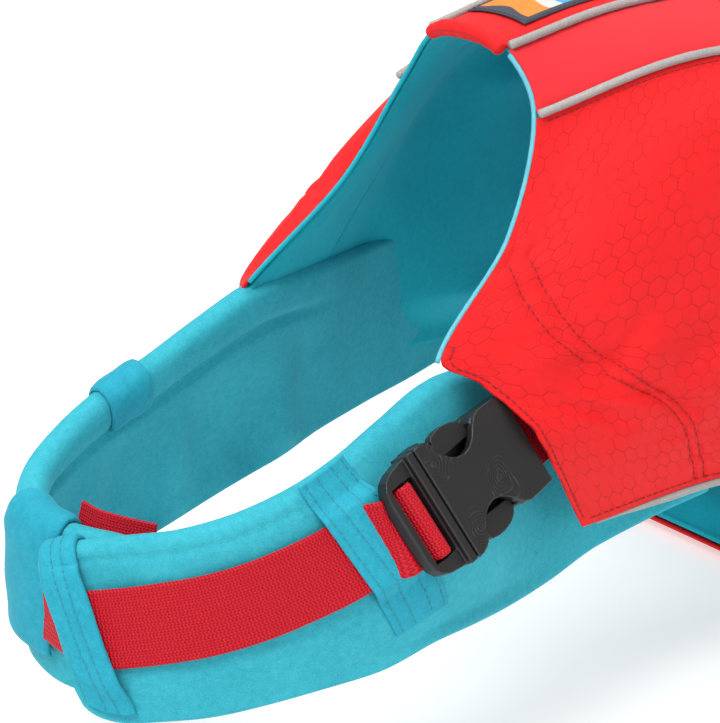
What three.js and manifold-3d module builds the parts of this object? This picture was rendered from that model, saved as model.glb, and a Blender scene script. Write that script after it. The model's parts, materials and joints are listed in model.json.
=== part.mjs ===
// Life jacket for a dog: padded back and side panels with a belly panel,
// a two-part chest band and three 25 mm side-release buckles.
// Millimetres. +Z up, front of the jacket towards -Y, wearer's left towards +X.
// Origin: middle of the wearer's chest, 114.5 mm behind the front of the spine seam.
import * as THREE from 'three';
import { mergeVertices } from 'three/addons/utils/BufferGeometryUtils.js';
import Module from 'manifold-3d';

const wasm = await Module();
wasm.setup();

// ---------------------------------------------------------------- sizes
const BACK_LENGTH = 365;        // front to rear along the spine seam
const CHEST_WIDTH = 186;        // across the side panels at the widest station
const SHELL = 1.2;              // coated woven outer shell
const LINING = 1.8;             // smooth foam-backed lining
const LAYER_GAP = 0.4;          // between two cloth or plastic pieces that touch
const PANEL_GAP = 0.6;          // between two layers of a sewn panel
const SEAM_ALLOWANCE = 0.5;     // thinnest edge of a foam insert
const SIDE_FOAM = 13;           // side panel foam, thickest
const SPINE_FOAM = 7;           // back panel foam, thickest
const PIPING_R = 1.5;           // reflective piping cord
const BINDING_R = 1.3;          // neck edge binding
const COLLAR_R = 3;             // padded roll across the front of the spine

const WEBBING_W = 25;           // all load-carrying webbing
const WEBBING_T = 1.3;
const BAND_T = 9;               // chest band at its rolled top edge
const BAND_FOOT_T = 4;          // chest band at its lower edge
const KEEPER_T = 1;             // loops that hold the webbing flat

const BUCKLE_W = 39;            // outside width of the side-release buckle
const BUCKLE_H = 9;             // outside thickness
const SOCKET_L = 33;
const PLUG_L = 16.5;             // part of the plug that stays outside
const BUCKLE_WALL = 2;
const BUCKLE_LIFT = 2.4;        // buckle base above the cloth it lies on
const SLOT_W = WEBBING_W + 1.4; // webbing slots
const LATCH_CLEARANCE = 0.3;

const BELLY_Z = -117;           // flat underside of the belly panel
const BELLY_FRONT = 4;
const BELLY_REAR = 186;
const BELLY_HALF = 67;          // half width of the belly panel
const BELLY_FLAT = 36;          // half width of its flat middle
const BELLY_RISE = 12;          // how far its side edges turn up
const BELLY_FOAM = 6;
const BELLY_STRAPS = [50, 145]; // where the two belly straps cross, along Y
const BELLY_BUCKLE_CLEAR = 2.5; // base plane of the belly buckles past the side panel
const BELLY_MOUTH_Z = -65;
const BELLY_BUCKLE_X = CHEST_WIDTH / 2 + BELLY_BUCKLE_CLEAR;

const HANDLE_H = 30;            // clear height under a grab handle
const HANDLES = [[-28, 65], [151, 225]];
const GRIP_T = 5.4;
const D_RING_Y = 112;
const D_RING_R = 13;            // to the middle of the wire
const D_RING_WIRE_R = 1.75;

// ---------------------------------------------------------------- colours
const RED = 0xe8202c;
const CORAL = 0xf24e54;
const TEAL = 0x2aa7ba;
const PALE_TEAL = 0x7cd8ea;
const WEB_RED = 0xc21228;
const GREY = 0xa6a39d;
const BLACK = 0x2c2c2f;
const FOAM_WHITE = 0xe9e7df;

const jacket = new THREE.Group();

const LOOKS = {
  ripstop: [RED, 0.55, 0],
  plain: [CORAL, 0.7, 0],
  neoprene: [TEAL, 0.75, 0],
  edge: [PALE_TEAL, 0.6, 0],
  webbing: [WEB_RED, 0.65, 0],
  piping: [GREY, 0.4, 0.2],
  plastic: [BLACK, 0.42, 0],
  steel: [0xb9bcc0, 0.28, 1],
  foam: [FOAM_WHITE, 0.9, 0],
  label: [0x2b2f38, 0.6, 0],
};

function add(name, geometry, look, parent = jacket) {
  const [color, roughness, metalness] = LOOKS[look];
  const material = new THREE.MeshStandardMaterial({ color, roughness, metalness });
  const mesh = new THREE.Mesh(closed(geometry), material);
  mesh.name = name;
  parent.add(mesh);
  return mesh;
}

// ---------------------------------------------------------------- helpers
function closed(geometry) {
  geometry.deleteAttribute('normal');
  geometry.deleteAttribute('uv');
  const g = mergeVertices(geometry, 1e-4);
  const p = g.attributes.position;
  const ix = g.index.array;
  const a = new THREE.Vector3();
  const b = new THREE.Vector3();
  const c = new THREE.Vector3();
  let volume = 0;
  for (let i = 0; i < ix.length; i += 3) {
    a.fromBufferAttribute(p, ix[i]);
    b.fromBufferAttribute(p, ix[i + 1]);
    c.fromBufferAttribute(p, ix[i + 2]);
    volume += a.dot(b.cross(c));
  }
  if (volume < 0) {
    for (let i = 0; i < ix.length; i += 3) {
      const t = ix[i];
      ix[i] = ix[i + 1];
      ix[i + 1] = t;
    }
  }
  g.computeVertexNormals();
  return g;
}

function toSolid(geometry) {
  const g = closed(geometry);
  return new wasm.Manifold(new wasm.Mesh({
    numProp: 3,
    vertProperties: new Float32Array(g.attributes.position.array),
    triVerts: new Uint32Array(g.index.array),
  }));
}

function fromSolid(solid) {
  const m = solid.getMesh();
  const g = new THREE.BufferGeometry();
  g.setAttribute('position', new THREE.BufferAttribute(new Float32Array(m.vertProperties), 3));
  g.setIndex(new THREE.BufferAttribute(new Uint32Array(m.triVerts), 1));
  g.computeVertexNormals();
  return g;
}

function block(x0, x1, y0, y1, z0, z1) {
  const g = new THREE.BoxGeometry(x1 - x0, y1 - y0, z1 - z0);
  return g.translate((x0 + x1) / 2, (y0 + y1) / 2, (z0 + z1) / 2);
}

function prism(points, z0, z1, bevel = 0) {
  const shape = new THREE.Shape(points.map(([x, y]) => new THREE.Vector2(x, y)));
  const g = new THREE.ExtrudeGeometry(shape, {
    depth: z1 - z0 - 2 * bevel,
    bevelEnabled: bevel > 0,
    bevelThickness: bevel,
    bevelSize: bevel,
    bevelOffset: -bevel,
    bevelSegments: 1,
    curveSegments: 4,
  });
  return g.translate(0, 0, z0 + bevel);
}

// A box whose faces are laid on a curved sheet: as[] and bs[] are the sheet's
// coordinates at the grid lines, at(a, b, top) gives the point.
function slab(as, bs, at) {
  const na = as.length - 1;
  const nb = bs.length - 1;
  const g = new THREE.BoxGeometry(1, 1, 1, na, nb, 1);
  const p = g.attributes.position;
  for (let i = 0; i < p.count; i += 1) {
    const a = as[Math.round((p.getX(i) + 0.5) * na)];
    const b = bs[Math.round((p.getY(i) + 0.5) * nb)];
    const q = at(a, b, p.getZ(i) > 0);
    p.setXYZ(i, q.x, q.y, q.z);
  }
  // Both faces split their cells along the same diagonal, so stacked layers nest.
  const { start, count } = g.groups[5];
  const ix = g.index.array;
  for (let i = start; i < start + count; i += 6) {
    const c = ix[i + 4];
    ix[i + 2] = c;
    ix[i + 3] = ix[i];
    ix[i + 4] = c;
  }
  return g;
}

// A flat strap along points[], each with the direction of its width.
function ribbon(points, across, width, thickness, lift = 0) {
  const n = points.length;
  const up = points.map((q, i) => {
    const tangent = points[Math.min(i + 1, n - 1)].clone().sub(points[Math.max(i - 1, 0)]);
    return tangent.cross(across[i]).normalize();
  });
  const steps = points.map((q, i) => i);
  return slab(steps, [-0.5, 0.5], (i, w, top) => points[i].clone()
    .addScaledVector(across[i], w * width)
    .addScaledVector(up[i], lift + (top ? thickness / 2 : -thickness / 2)));
}

function rod(points, radius, sides, steps) {
  const curve = new THREE.CatmullRomCurve3(points);
  const ring = [];
  for (let i = 0; i < sides; i += 1) {
    const t = (2 * Math.PI * i) / sides;
    ring.push(new THREE.Vector2(radius * Math.cos(t), radius * Math.sin(t)));
  }
  return new THREE.ExtrudeGeometry(new THREE.Shape(ring), {
    steps, extrudePath: curve, bevelEnabled: false,
  });
}

function smooth(a, b, x) {
  return THREE.MathUtils.smoothstep(x, a, b);
}

function mix(list, x) {
  // Catmull-Rom through a list of equally spaced points.
  const n = list.length - 1;
  const i = Math.min(Math.max(Math.floor(x), 0), n - 1);
  const t = x - i;
  const p1 = list[i];
  const p2 = list[i + 1];
  const p0 = i > 0 ? list[i - 1] : p1.clone().multiplyScalar(2).sub(p2);
  const p3 = i < n - 1 ? list[i + 2] : p2.clone().multiplyScalar(2).sub(p1);
  const out = p1.clone().multiplyScalar(2);
  out.addScaledVector(p2.clone().sub(p0), t);
  out.addScaledVector(p0.clone().multiplyScalar(2).addScaledVector(p1, -5)
    .addScaledVector(p2, 4).sub(p3), t * t);
  out.addScaledVector(p1.clone().sub(p2).multiplyScalar(3).sub(p0).add(p3), t * t * t);
  return out.multiplyScalar(0.5);
}

// ---------------------------------------------------------------- back and sides
// The seams run from the front edge to the rear edge. They are drafted for a
// 365 mm back and a 186 mm chest, and graded to the sizes above.
const DRAFT_BACK = 365;
const DRAFT_CHEST = 186;
const FRONT_Y = -114.5;
function graded([x, y, z]) {
  return new THREE.Vector3(
    (x * CHEST_WIDTH) / DRAFT_CHEST,
    y < FRONT_Y ? y : FRONT_Y + ((y - FRONT_Y) * BACK_LENGTH) / DRAFT_BACK,
    z,
  );
}
const SEAMS = [
  [[0, -114.5, 108], [0, -65, 114.5], [0, 21.5, 115.5], [0, 108, 112.5], [0, 183.5, 109], [0, 250.5, 106]],
  [[18.5, -114.5, 103.5], [21.5, -62.5, 111], [25, 21.5, 111], [27, 108, 108], [27, 183.5, 105], [22.5, 249.5, 101.5]],
  [[33.5, -115.5, 84], [47.5, -54, 97], [60.5, 24, 93], [65, 106, 88.5], [62.5, 181.5, 85.5], [54, 246, 82]],
  [[43, -135, 49.5], [67, -69, 67], [83, 18.5, 60.5], [86.5, 101.5, 56], [83, 176, 54], [69, 240, 53]],
  [[52, -173, 13.5], [79, -82, 11], [90.5, 13, 4.5], [93, 96, 2], [87.5, 168.5, 6.5], [71.5, 232, 17.5]],
  [[73.5, -143.5, -7.5], [83, -75.5, -14], [92, 11, -24], [92, 90.5, -27], [85.5, 160, -18.5], [71.5, 223.5, -2]],
  [[74.5, -128.5, -44.5], [82, -69, -42], [87.5, 8.5, -54], [86.5, 85.5, -58.5], [80, 151, -48.5], [68, 213, -19.5]],
].map((line) => line.map(graded));
const HEM = 6;

function bodyPoint(u, k) {
  const across = [];
  for (let i = -HEM; i <= HEM; i += 1) {
    const q = mix(SEAMS[Math.abs(i)], u * 5);
    if (i < 0) q.x = -q.x;
    across.push(q);
  }
  return mix(across, k + HEM);
}

function bodyNormal(u, k) {
  const e = 0.004;
  const du = bodyPoint(u + e, k).sub(bodyPoint(u - e, k));
  const dk = bodyPoint(u, k + e * 4).sub(bodyPoint(u, k - e * 4));
  return dk.cross(du).normalize();
}

function body(u, k, depth) {
  return bodyPoint(u, k).addScaledVector(bodyNormal(u, k), -depth);
}

function foamAt(u, k) {
  const a = Math.abs(k);
  const rear = 1 - smooth(0.9, 0.97, u);
  const top = SPINE_FOAM * (1 - smooth(1.4, 1.9, a)) * smooth(0.05, 0.12, u) * rear;
  const side = SIDE_FOAM * smooth(2.1, 2.8, a) * (1 - smooth(5.1, 5.8, a));
  return top + side * smooth(0.14, 0.26, u) * rear;
}

const U = [0, 0.03, 0.065, 0.1, 0.14, 0.2, 0.27, 0.34, 0.42, 0.5, 0.58, 0.66, 0.74, 0.82, 0.9,
  0.96, 1];
const K_SIDE = [2.03, 2.2, 2.6, 3, 3.5, 4, 4.5, 5, 5.4, 5.8, 6];
const K_SPINE = [-0.97, 0, 0.97];
const K_YOKE = [1.03, 1.5, 1.97];
const IN = SHELL + PANEL_GAP;
const flip = (ks) => ks.map((k) => -k).reverse();

function panel(us, ks, outer, inner) {
  return slab(ks, us, (k, u, top) => body(u, k, top ? outer(u, k) : inner(u, k)));
}

const none = () => 0;
const shellIn = () => SHELL;
for (const [side, ks, yoke] of [['left', K_SIDE, K_YOKE], ['right', flip(K_SIDE), flip(K_YOKE)]]) {
  add(`${side}_side_shell`, panel(U, ks, none, shellIn), 'ripstop');
  add(`${side}_yoke_shell`, panel(U, yoke, none, shellIn), 'plain');
  add(`${side}_side_foam`, panel(U.slice(4, 16), ks.slice(1, -1), () => IN,
    (u, k) => IN + SEAM_ALLOWANCE + foamAt(u, k)), 'foam');
}
add('spine_shell', panel(U, K_SPINE, none, shellIn), 'ripstop');
add('spine_foam', panel(U.slice(2, 16), [-1.97, -1.5, -1.03, 0, 1.03, 1.5,
  1.97], () => IN,
  (u, k) => IN + SEAM_ALLOWANCE + foamAt(u, k)), 'foam');

const K_ALL = [...flip(K_SIDE), ...flip(K_YOKE).slice(1), ...K_SPINE.slice(1, 2), ...K_YOKE,
  ...K_SIDE.slice(1)];
const liningOut = (u, k) => IN + SEAM_ALLOWANCE + PANEL_GAP + foamAt(u, k);
add('body_lining', panel([...U.slice(3, 16), 0.985], K_ALL, liningOut,
  (u, k) => liningOut(u, k) + LINING), 'neoprene');
const K_NECK = K_ALL.filter((k) => k > -4.8 && k < 3.7);
add('neck_lining', panel([0.012, 0.03, 0.065, 0.095], K_NECK, liningOut,
  (u, k) => liningOut(u, k) + LINING), 'neoprene');

// Reflective piping stands on the seams, binding and hem cord lie past the edges.
function seamLine(k, us, lift) {
  return us.map((u) => body(u, k, -lift));
}
const RUN = [0.005, 0.1, 0.2, 0.34, 0.5, 0.66, 0.82, 0.99];
for (const [side, s] of [['left', 1], ['right', -1]]) {
  add(`${side}_spine_piping`, rod(seamLine(s, RUN, PIPING_R + LAYER_GAP), PIPING_R, 6, 14),
    'piping');
  add(`${side}_yoke_piping`, rod(seamLine(2 * s, RUN, PIPING_R + LAYER_GAP), PIPING_R, 6, 14),
    'piping');
  const hem = [0.02, 0.1, 0.2, 0.34, 0.5, 0.66, 0.82, 0.98].map((u) => {
    const edge = body(u, HEM * s, SHELL / 2);
    const out = edge.clone().sub(body(u, (HEM - 0.1) * s, SHELL / 2)).normalize();
    return edge.addScaledVector(out, PIPING_R + 2 * LAYER_GAP);
  });
  add(`${side}_hem_piping`, rod(hem, PIPING_R, 6, 14), 'piping');
  const neck = [1.15, 1.6, 2, 2.5, 3, 3.3, 3.6, 3.8].map((k) => {
    const edge = body(0, k * s, SHELL / 2 + 0.6);
    const out = edge.clone().sub(body(0.02, k * s, SHELL / 2 + 0.6)).normalize();
    return edge.addScaledVector(out, (BINDING_R + 2.6 * LAYER_GAP)
      * (1 + 0.6 * smooth(2.4, 3.2, k)));
  });
  add(`${side}_neck_binding`, rod(neck, BINDING_R, 6, 20), 'edge');
}
const roll = [-0.9, -0.45, 0, 0.45, 0.9].map((k) => {
  const edge = body(0, k, COLLAR_R - 1.5);
  return edge.add(new THREE.Vector3(0, -COLLAR_R - LAYER_GAP, 0));
});
add('collar_roll', rod(roll, COLLAR_R, 8, 6), 'ripstop');
add('spine_label', panel([0.1, 0.14, 0.2, 0.23], [-0.66, 0, 0.66], () => -1,
  () => -LAYER_GAP), 'label');

// ---------------------------------------------------------------- chest band
// Top and lower edge of each half's outer face, from its sewn rear end to its
// front end. The right half's front end is tucked behind the left half's.
const BAND_LEFT = {
  top: [[44.5, -114.5, 3], [43, -140.5, 6.5], [43.5, -165, 8.5], [47.5, -190, 3], [52, -212, -2],
    [52, -231, -7.5], [45, -249.5, -14], [34, -262.5, -19], [21.5, -273, -22], [8.5, -283, -25.5]],
  foot: [[51, -103.5, -46.5], [55, -125.5, -49.5], [60.5, -147, -54], [68, -170.5, -58.5], [72, -192, -60.5],
    [70, -211.5, -65], [65, -229, -68], [57, -247.5, -71.5], [47.5, -263.5, -74.5], [32.5, -277.5, -78]],
  bulge: [[0.06, 0.5], [0.32, 11], [0.66, 3], [1, 1.5]],
};
const BAND_RIGHT = {
  top: [[-47.5, -110, 4.5], [-47, -140.5, 8.5], [-48, -168.5, 11.5], [-50, -192, 5.5],
    [-52, -213, -1], [-52, -231, -7], [-47, -250.5, -14], [-36.5, -267, -20],
    [-20.5, -276.5, -24.5], [-3, -275.5, -27], [12, -267, -28]],
  foot: [[-51, -99.5, -54], [-54, -125.5, -58.5], [-58.5, -149, -62.5], [-63.5, -175, -67],
    [-65, -198.5, -71.5], [-61.5, -220.5, -74.5], [-56, -240, -77], [-46.5, -258, -79],
    [-29, -273, -80.5], [-8.5, -278.5, -82], [11, -274.5, -83]],
  bulge: [[0.05, 1], [0.3, 4], [0.62, 3], [1, 1]],
};
const HALVES = [[BAND_LEFT, 1], [BAND_RIGHT, -1]];
for (const [half] of HALVES) {
  half.top = half.top.map(graded);
  half.foot = half.foot.map(graded);
  half.n = half.top.length - 1;
}

function bandFlat(half, s, t) {
  const a = mix(half.top, s * half.n);
  const b = mix(half.foot, s * half.n);
  return a.lerp(b, t);
}

function bandNormal(half, s, t) {
  const e = 0.01;
  const ds = bandFlat(half, s + e, t).sub(bandFlat(half, s - e, t));
  const dt = bandFlat(half, s, 1).sub(bandFlat(half, s, 0));
  const n = half === BAND_LEFT ? ds.cross(dt) : dt.cross(ds);
  return n.normalize();
}

function band(half, s, t, lift) {
  const knots = half.bulge;
  let i = 0;
  while (i < knots.length - 2 && s > knots[i + 1][0]) i += 1;
  const [s0, b0] = knots[i];
  const [s1, b1] = knots[i + 1];
  const bulge = b0 + (b1 - b0) * smooth(s0, s1, s);
  // The padded face stands out most a little below its middle.
  const crown = bulge * Math.sin(Math.PI * t ** 1.35);
  return bandFlat(half, s, t).addScaledVector(bandNormal(half, s, t), crown + lift);
}

const WEB_LIFT = LAYER_GAP + 0.3 + WEBBING_T / 2;
const BAND_TS = [0, 0.04, 0.12, 0.3, 0.5, 0.7, 0.88, 0.97, 1];
function bandFace(t) {
  return -3 * (1 - smooth(0, 0.1, t)) - 1.2 * smooth(0.93, 1, t);
}
function bandBack(t) {
  const flat = THREE.MathUtils.lerp(BAND_T, BAND_FOOT_T, smooth(0.1, 0.95, t));
  return -flat + 3 * (1 - smooth(0, 0.1, t)) + 1.2 * smooth(0.93, 1, t);
}
function line(n, a = 0, b = 1) {
  return Array.from({ length: n + 1 }, (x, i) => a + ((b - a) * i) / n);
}
add('chest_band_left', slab(line(18), BAND_TS,
  (s, t, top) => band(BAND_LEFT, s, t, top ? bandFace(t) : bandBack(t))), 'neoprene');
add('chest_band_right', slab(line(20), BAND_TS,
  (s, t, top) => band(BAND_RIGHT, s, t, top ? bandFace(t) : bandBack(t))), 'neoprene');

// Where the webbing lies on a band half: its middle, and the way across it.
const WEB_LINE = (s) => THREE.MathUtils.lerp(0.4, 0.47, smooth(0.4, 1, s));
function across(half, s) {
  const t = WEB_LINE(s);
  return band(half, s, t + 0.17, 0).sub(band(half, s, t - 0.17, 0)).normalize();
}
function overBand(half, s, offset, lift) {
  const e = 0.01;
  const t = WEB_LINE(s);
  const run = band(half, s + e, t, 0).sub(band(half, s - e, t, 0));
  const w = across(half, s);
  const n = half === BAND_LEFT ? run.cross(w) : w.clone().cross(run);
  return band(half, s, t, 0).addScaledVector(w, offset).addScaledVector(n.normalize(), lift);
}

// Keepers: cloth loops over the webbing, sewn down above and below it.
// Steps down the band: sewn foot above, over the webbing, sewn foot below.
const KEEPER_AT = [-0.32, -0.25, -0.1, 0, 0.1, 0.25, 0.36, 0.45];
function keeper(half, s0, s1) {
  const clear = WEB_LIFT + WEBBING_T / 2 + 0.7;
  return slab([s0, (s0 + s1) / 2, s1], KEEPER_AT, (s, q, top) => {
    const thick = top ? KEEPER_T : 0;
    if (Math.abs(q) < 0.2) {
      return overBand(half, s, (q / 0.1) * (WEBBING_W / 2 + 1.6), clear + thick);
    }
    return band(half, s, WEB_LINE(s) + q, LAYER_GAP + 0.3 + thick);
  });
}
add('chest_keeper_broad', keeper(BAND_LEFT, 0.49, 0.56), 'neoprene');
add('chest_keeper_front', keeper(BAND_LEFT, 0.925, 0.985), 'neoprene');
add('right_keeper_front', keeper(BAND_RIGHT, 0.76, 0.84), 'neoprene');
add('right_keeper_rear', keeper(BAND_RIGHT, 0.44, 0.53), 'neoprene');

// ---------------------------------------------------------------- buckles
// In the buckle's own frame +X is the way the plug goes in, +Z away from the
// cloth, and the plug meets the socket at X = 0.
const HALF_W = BUCKLE_W / 2;
const CAVITY_W = HALF_W - 4;
const CAVITY_L = SOCKET_L - 8;
const BAR_L = 3.2;              // socket's webbing bar, along the buckle
const BAR_LOW = 2.5;
const BAR_DOWN = 3;             // its top below the socket's top

function socketGeometry() {
  const r = 4;
  const w = HALF_W;
  const l = SOCKET_L;
  const outline = [[0, -w + 0.8], [0.8, -w], [l - r, -w], [l - r * 0.3, -w + r * 0.3], [l, -w + r],
    [l, w - r], [l - r * 0.3, w - r * 0.3], [l - r, w], [0.8, w], [0, w - 0.8]];
  const half = SLOT_W / 2;
  let s = toSolid(prism(outline, 0, BUCKLE_H, 0.8));
  s = s.subtract(toSolid(block(-1, CAVITY_L, -CAVITY_W, CAVITY_W, BUCKLE_WALL,
    BUCKLE_H - BUCKLE_WALL)));
  s = s.subtract(toSolid(block(11.5, 23, -w - 1, w + 1, 2.6, BUCKLE_H - 2.6)));
  s = s.subtract(toSolid(block(CAVITY_L + 1.2, l - BAR_L, -half, half, -1, BUCKLE_H + 1)));
  s = s.subtract(toSolid(block(CAVITY_L + 1.2, l + 1, -half, half, BUCKLE_H - BAR_DOWN,
    BUCKLE_H + 1)));
  s = s.subtract(toSolid(block(CAVITY_L + 1.2, l + 1, -half, half, -1, BAR_LOW)));
  return fromSolid(s);
}

const END_BAR = 2.8;
const SLOT_L = 3.5;
const FRAME_Z0 = 2.4;
const FRAME_Z1 = 6;
function plugGeometry() {
  const w = HALF_W;
  const half = SLOT_W / 2;
  const frame = [[-PLUG_L, -w + 5], [-PLUG_L + 2, -w + 3], [-3, -w + 0.4], [-3, w - 0.4],
    [-PLUG_L + 2, w - 3], [-PLUG_L, w - 5]];
  const collar = [[-3.9, -w + 0.9], [-3, -w], [-LAYER_GAP, -w], [-LAYER_GAP, w], [-3, w],
    [-3.9, w - 0.9]];
  let s = toSolid(prism(frame, FRAME_Z0, FRAME_Z1, 0.6));
  s = s.subtract(toSolid(block(-PLUG_L + END_BAR, -PLUG_L + END_BAR + SLOT_L, -half, half, -1, 12)));
  s = s.subtract(toSolid(block(-4.1 - SLOT_L, -4.1, -half, half, -1, 12)));
  s = s.add(toSolid(prism(collar, 0.4, BUCKLE_H - 0.4, 0.6)));
  s = s.add(toSolid(block(-1, 15, -2.8, 2.8, 3.4, 6.6)));
  return fromSolid(s);
}

const ARM_PIVOT = [0.8, CAVITY_W - 3.1];
function armGeometry(side) {
  const w = CAVITY_W;
  const outline = [[0.5, w - 4.9], [20, w - 4.3], [23.4, w - 3.3], [24, w - 2.2], [22.2, w - 0.5],
    [20.5, w + 2.2], [15, w + 3.4], [12.4, w + 3.1], [12.2, w - 0.5], [0.5, w - 1.3]];
  const points = side > 0 ? outline : outline.map(([x, y]) => [x, -y]);
  return prism(points, 2.6 + LATCH_CLEARANCE, BUCKLE_H - 2.6 - LATCH_CLEARANCE);
}

function tabGeometry() {
  const x0 = SOCKET_L - BAR_L - LAYER_GAP;
  const z0 = BAR_LOW - LAYER_GAP;
  const z1 = BUCKLE_H - BAR_DOWN + LAYER_GAP + 0.2;
  const t = WEBBING_T;
  const tail = SOCKET_L + 25;
  const low = -BUCKLE_LIFT + 1.2;
  const shape = new THREE.Shape([[x0 - t, z0 - t + 0.6], [x0 - t + 0.6, z0 - t],
    [SOCKET_L + 2, z0 - t], [SOCKET_L + 12, low], [tail, low], [tail, low + 2 * t],
    [SOCKET_L + 13, low + 2 * t], [SOCKET_L + 1, z1 + t], [x0 - t + 0.6, z1 + t],
    [x0 - t, z1 + t - 0.6]].map(([x, z]) => new THREE.Vector2(x, z)));
  shape.holes.push(new THREE.Path([[x0, z0], [SOCKET_L + 2.3, z0], [SOCKET_L + 7, z0 + 1.1],
    [SOCKET_L + 0.5, z1], [x0, z1]].map(([x, z]) => new THREE.Vector2(x, z))));
  const g = new THREE.ExtrudeGeometry(shape, { depth: WEBBING_W, bevelEnabled: false });
  return g.rotateX(Math.PI / 2).translate(0, WEBBING_W / 2, 0);
}

// Where the webbing runs through the plug: under the end bar, over the middle
// bar and down into the second slot.
const SLOT_A = -PLUG_L + END_BAR + SLOT_L / 2;
const SLOT_B = -4.1 - SLOT_L / 2;
const BAR_MID = (SLOT_A + SLOT_B) / 2;
const LADDER = [[-PLUG_L - 1, 0.9], [SLOT_A - 1.3, 1.1], [SLOT_A, 3.6],
  [SLOT_A + 1.3, 6.8], [BAR_MID, 7.3], [SLOT_B - 1.3, 6.8], [SLOT_B, 4.2], [SLOT_B, 2]];

function buckle(name, frame) {
  const holder = new THREE.Group();
  holder.applyMatrix4(frame);
  jacket.add(holder);
  add(`${name}_socket`, socketGeometry(), 'plastic', holder);
  add(`${name}_plug`, plugGeometry(), 'plastic', holder);
  add(`${name}_latch_a`, armGeometry(1), 'plastic', holder);
  add(`${name}_latch_b`, armGeometry(-1), 'plastic', holder);
  add(`${name}_socket_tab`, tabGeometry(), 'webbing', holder);
}

// Chest buckle: laid on the left half of the chest band.
const MOUTH_T = 0.42;
function sAtY(half, y) {
  let lo = 0;
  let hi = 1;
  for (let i = 0; i < 30; i += 1) {
    const s = (lo + hi) / 2;
    if (bandFlat(half, s, MOUTH_T).y > y) lo = s;
    else hi = s;
  }
  return lo;
}
const MOUTH_Y = -193;
const mouthS = sAtY(BAND_LEFT, MOUTH_Y);
const back = band(BAND_LEFT, sAtY(BAND_LEFT, MOUTH_Y + 32), MOUTH_T, 0);
const fore = band(BAND_LEFT, sAtY(BAND_LEFT, MOUTH_Y - 14), MOUTH_T, 0);
const mouth = band(BAND_LEFT, mouthS, MOUTH_T, 0);
const axisX = back.clone().sub(fore).normalize();
const down = band(BAND_LEFT, mouthS, MOUTH_T + 0.22, 0)
  .sub(band(BAND_LEFT, mouthS, MOUTH_T - 0.22, 0));
const axisZ = down.clone().cross(axisX).normalize();
const axisY = axisZ.clone().cross(axisX).normalize();
const chestFrame = new THREE.Matrix4().makeBasis(axisX, axisY, axisZ);
chestFrame.setPosition(mouth.clone().addScaledVector(axisZ, BUCKLE_LIFT));
buckle('chest_buckle', chestFrame);

// Chest webbing: from the plug along the left half, across the front, and back
// along the right half to where it is sewn under the side flap.
const path = [];
const widths = [];
function lay(half, s, lift) {
  path.push(overBand(half, s, 0, WEB_LIFT + lift));
  widths.push(across(half, s));
}
for (const [x, z] of LADDER.slice().reverse()) {
  path.push(new THREE.Vector3(x, 0, z).applyMatrix4(chestFrame));
  widths.push(axisY.clone().negate());
}
const startS = sAtY(BAND_LEFT, MOUTH_Y - 19);
for (const s of line(14, startS, 0.995)) lay(BAND_LEFT, s, 0.2);
lay(BAND_RIGHT, 0.86, 1.4);
for (const s of line(12, 0.8, 0.22)) lay(BAND_RIGHT, s, 0);
add('chest_webbing', ribbon(path, widths, WEBBING_W, WEBBING_T), 'webbing');

// ---------------------------------------------------------------- belly panel
function bellyPoint(x, y, up) {
  const a = Math.abs(x);
  const bend = a <= BELLY_FLAT ? 0 : ((a - BELLY_FLAT) / (BELLY_HALF - BELLY_FLAT)) ** 2;
  return new THREE.Vector3(x, y, BELLY_Z + BELLY_RISE * bend + up);
}
const BELLY_XS = [-BELLY_HALF, -60, -48, -BELLY_FLAT, 0, BELLY_FLAT, 48, 60, BELLY_HALF];
const BELLY_YS = [BELLY_FRONT, BELLY_FRONT + 8, BELLY_FRONT + 24, 95, BELLY_REAR - 24,
  BELLY_REAR - 8, BELLY_REAR];
// The panel narrows towards its front and rear edges.
function waist(y) {
  const end = Math.min(y - BELLY_FRONT, BELLY_REAR - y);
  return 1 - 0.14 * (1 - smooth(0, 30, end));
}
function bellyLayer(xs, ys, low, high) {
  return slab(xs, ys, (x, y, top) => bellyPoint(x * waist(y), y, top ? high(x, y) : low(x, y)));
}
const bellyFoam = (x, y) => BELLY_FOAM * (1 - smooth(50, 64, Math.abs(x)))
  * smooth(BELLY_FRONT + 2, BELLY_FRONT + 20, y) * (1 - smooth(BELLY_REAR - 20, BELLY_REAR - 2, y));
add('belly_panel_shell', bellyLayer(BELLY_XS, BELLY_YS, none, shellIn), 'ripstop');
add('belly_panel_foam', bellyLayer(BELLY_XS.slice(1, -1), BELLY_YS.slice(1, -1), () => IN,
  (x, y) => IN + SEAM_ALLOWANCE + bellyFoam(x, y)), 'foam');
const bellyLow = (x, y) => IN + SEAM_ALLOWANCE + PANEL_GAP + bellyFoam(x, y);
add('belly_panel_lining', bellyLayer(BELLY_XS, BELLY_YS, bellyLow,
  (x, y) => bellyLow(x, y) + LINING), 'neoprene');

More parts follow.
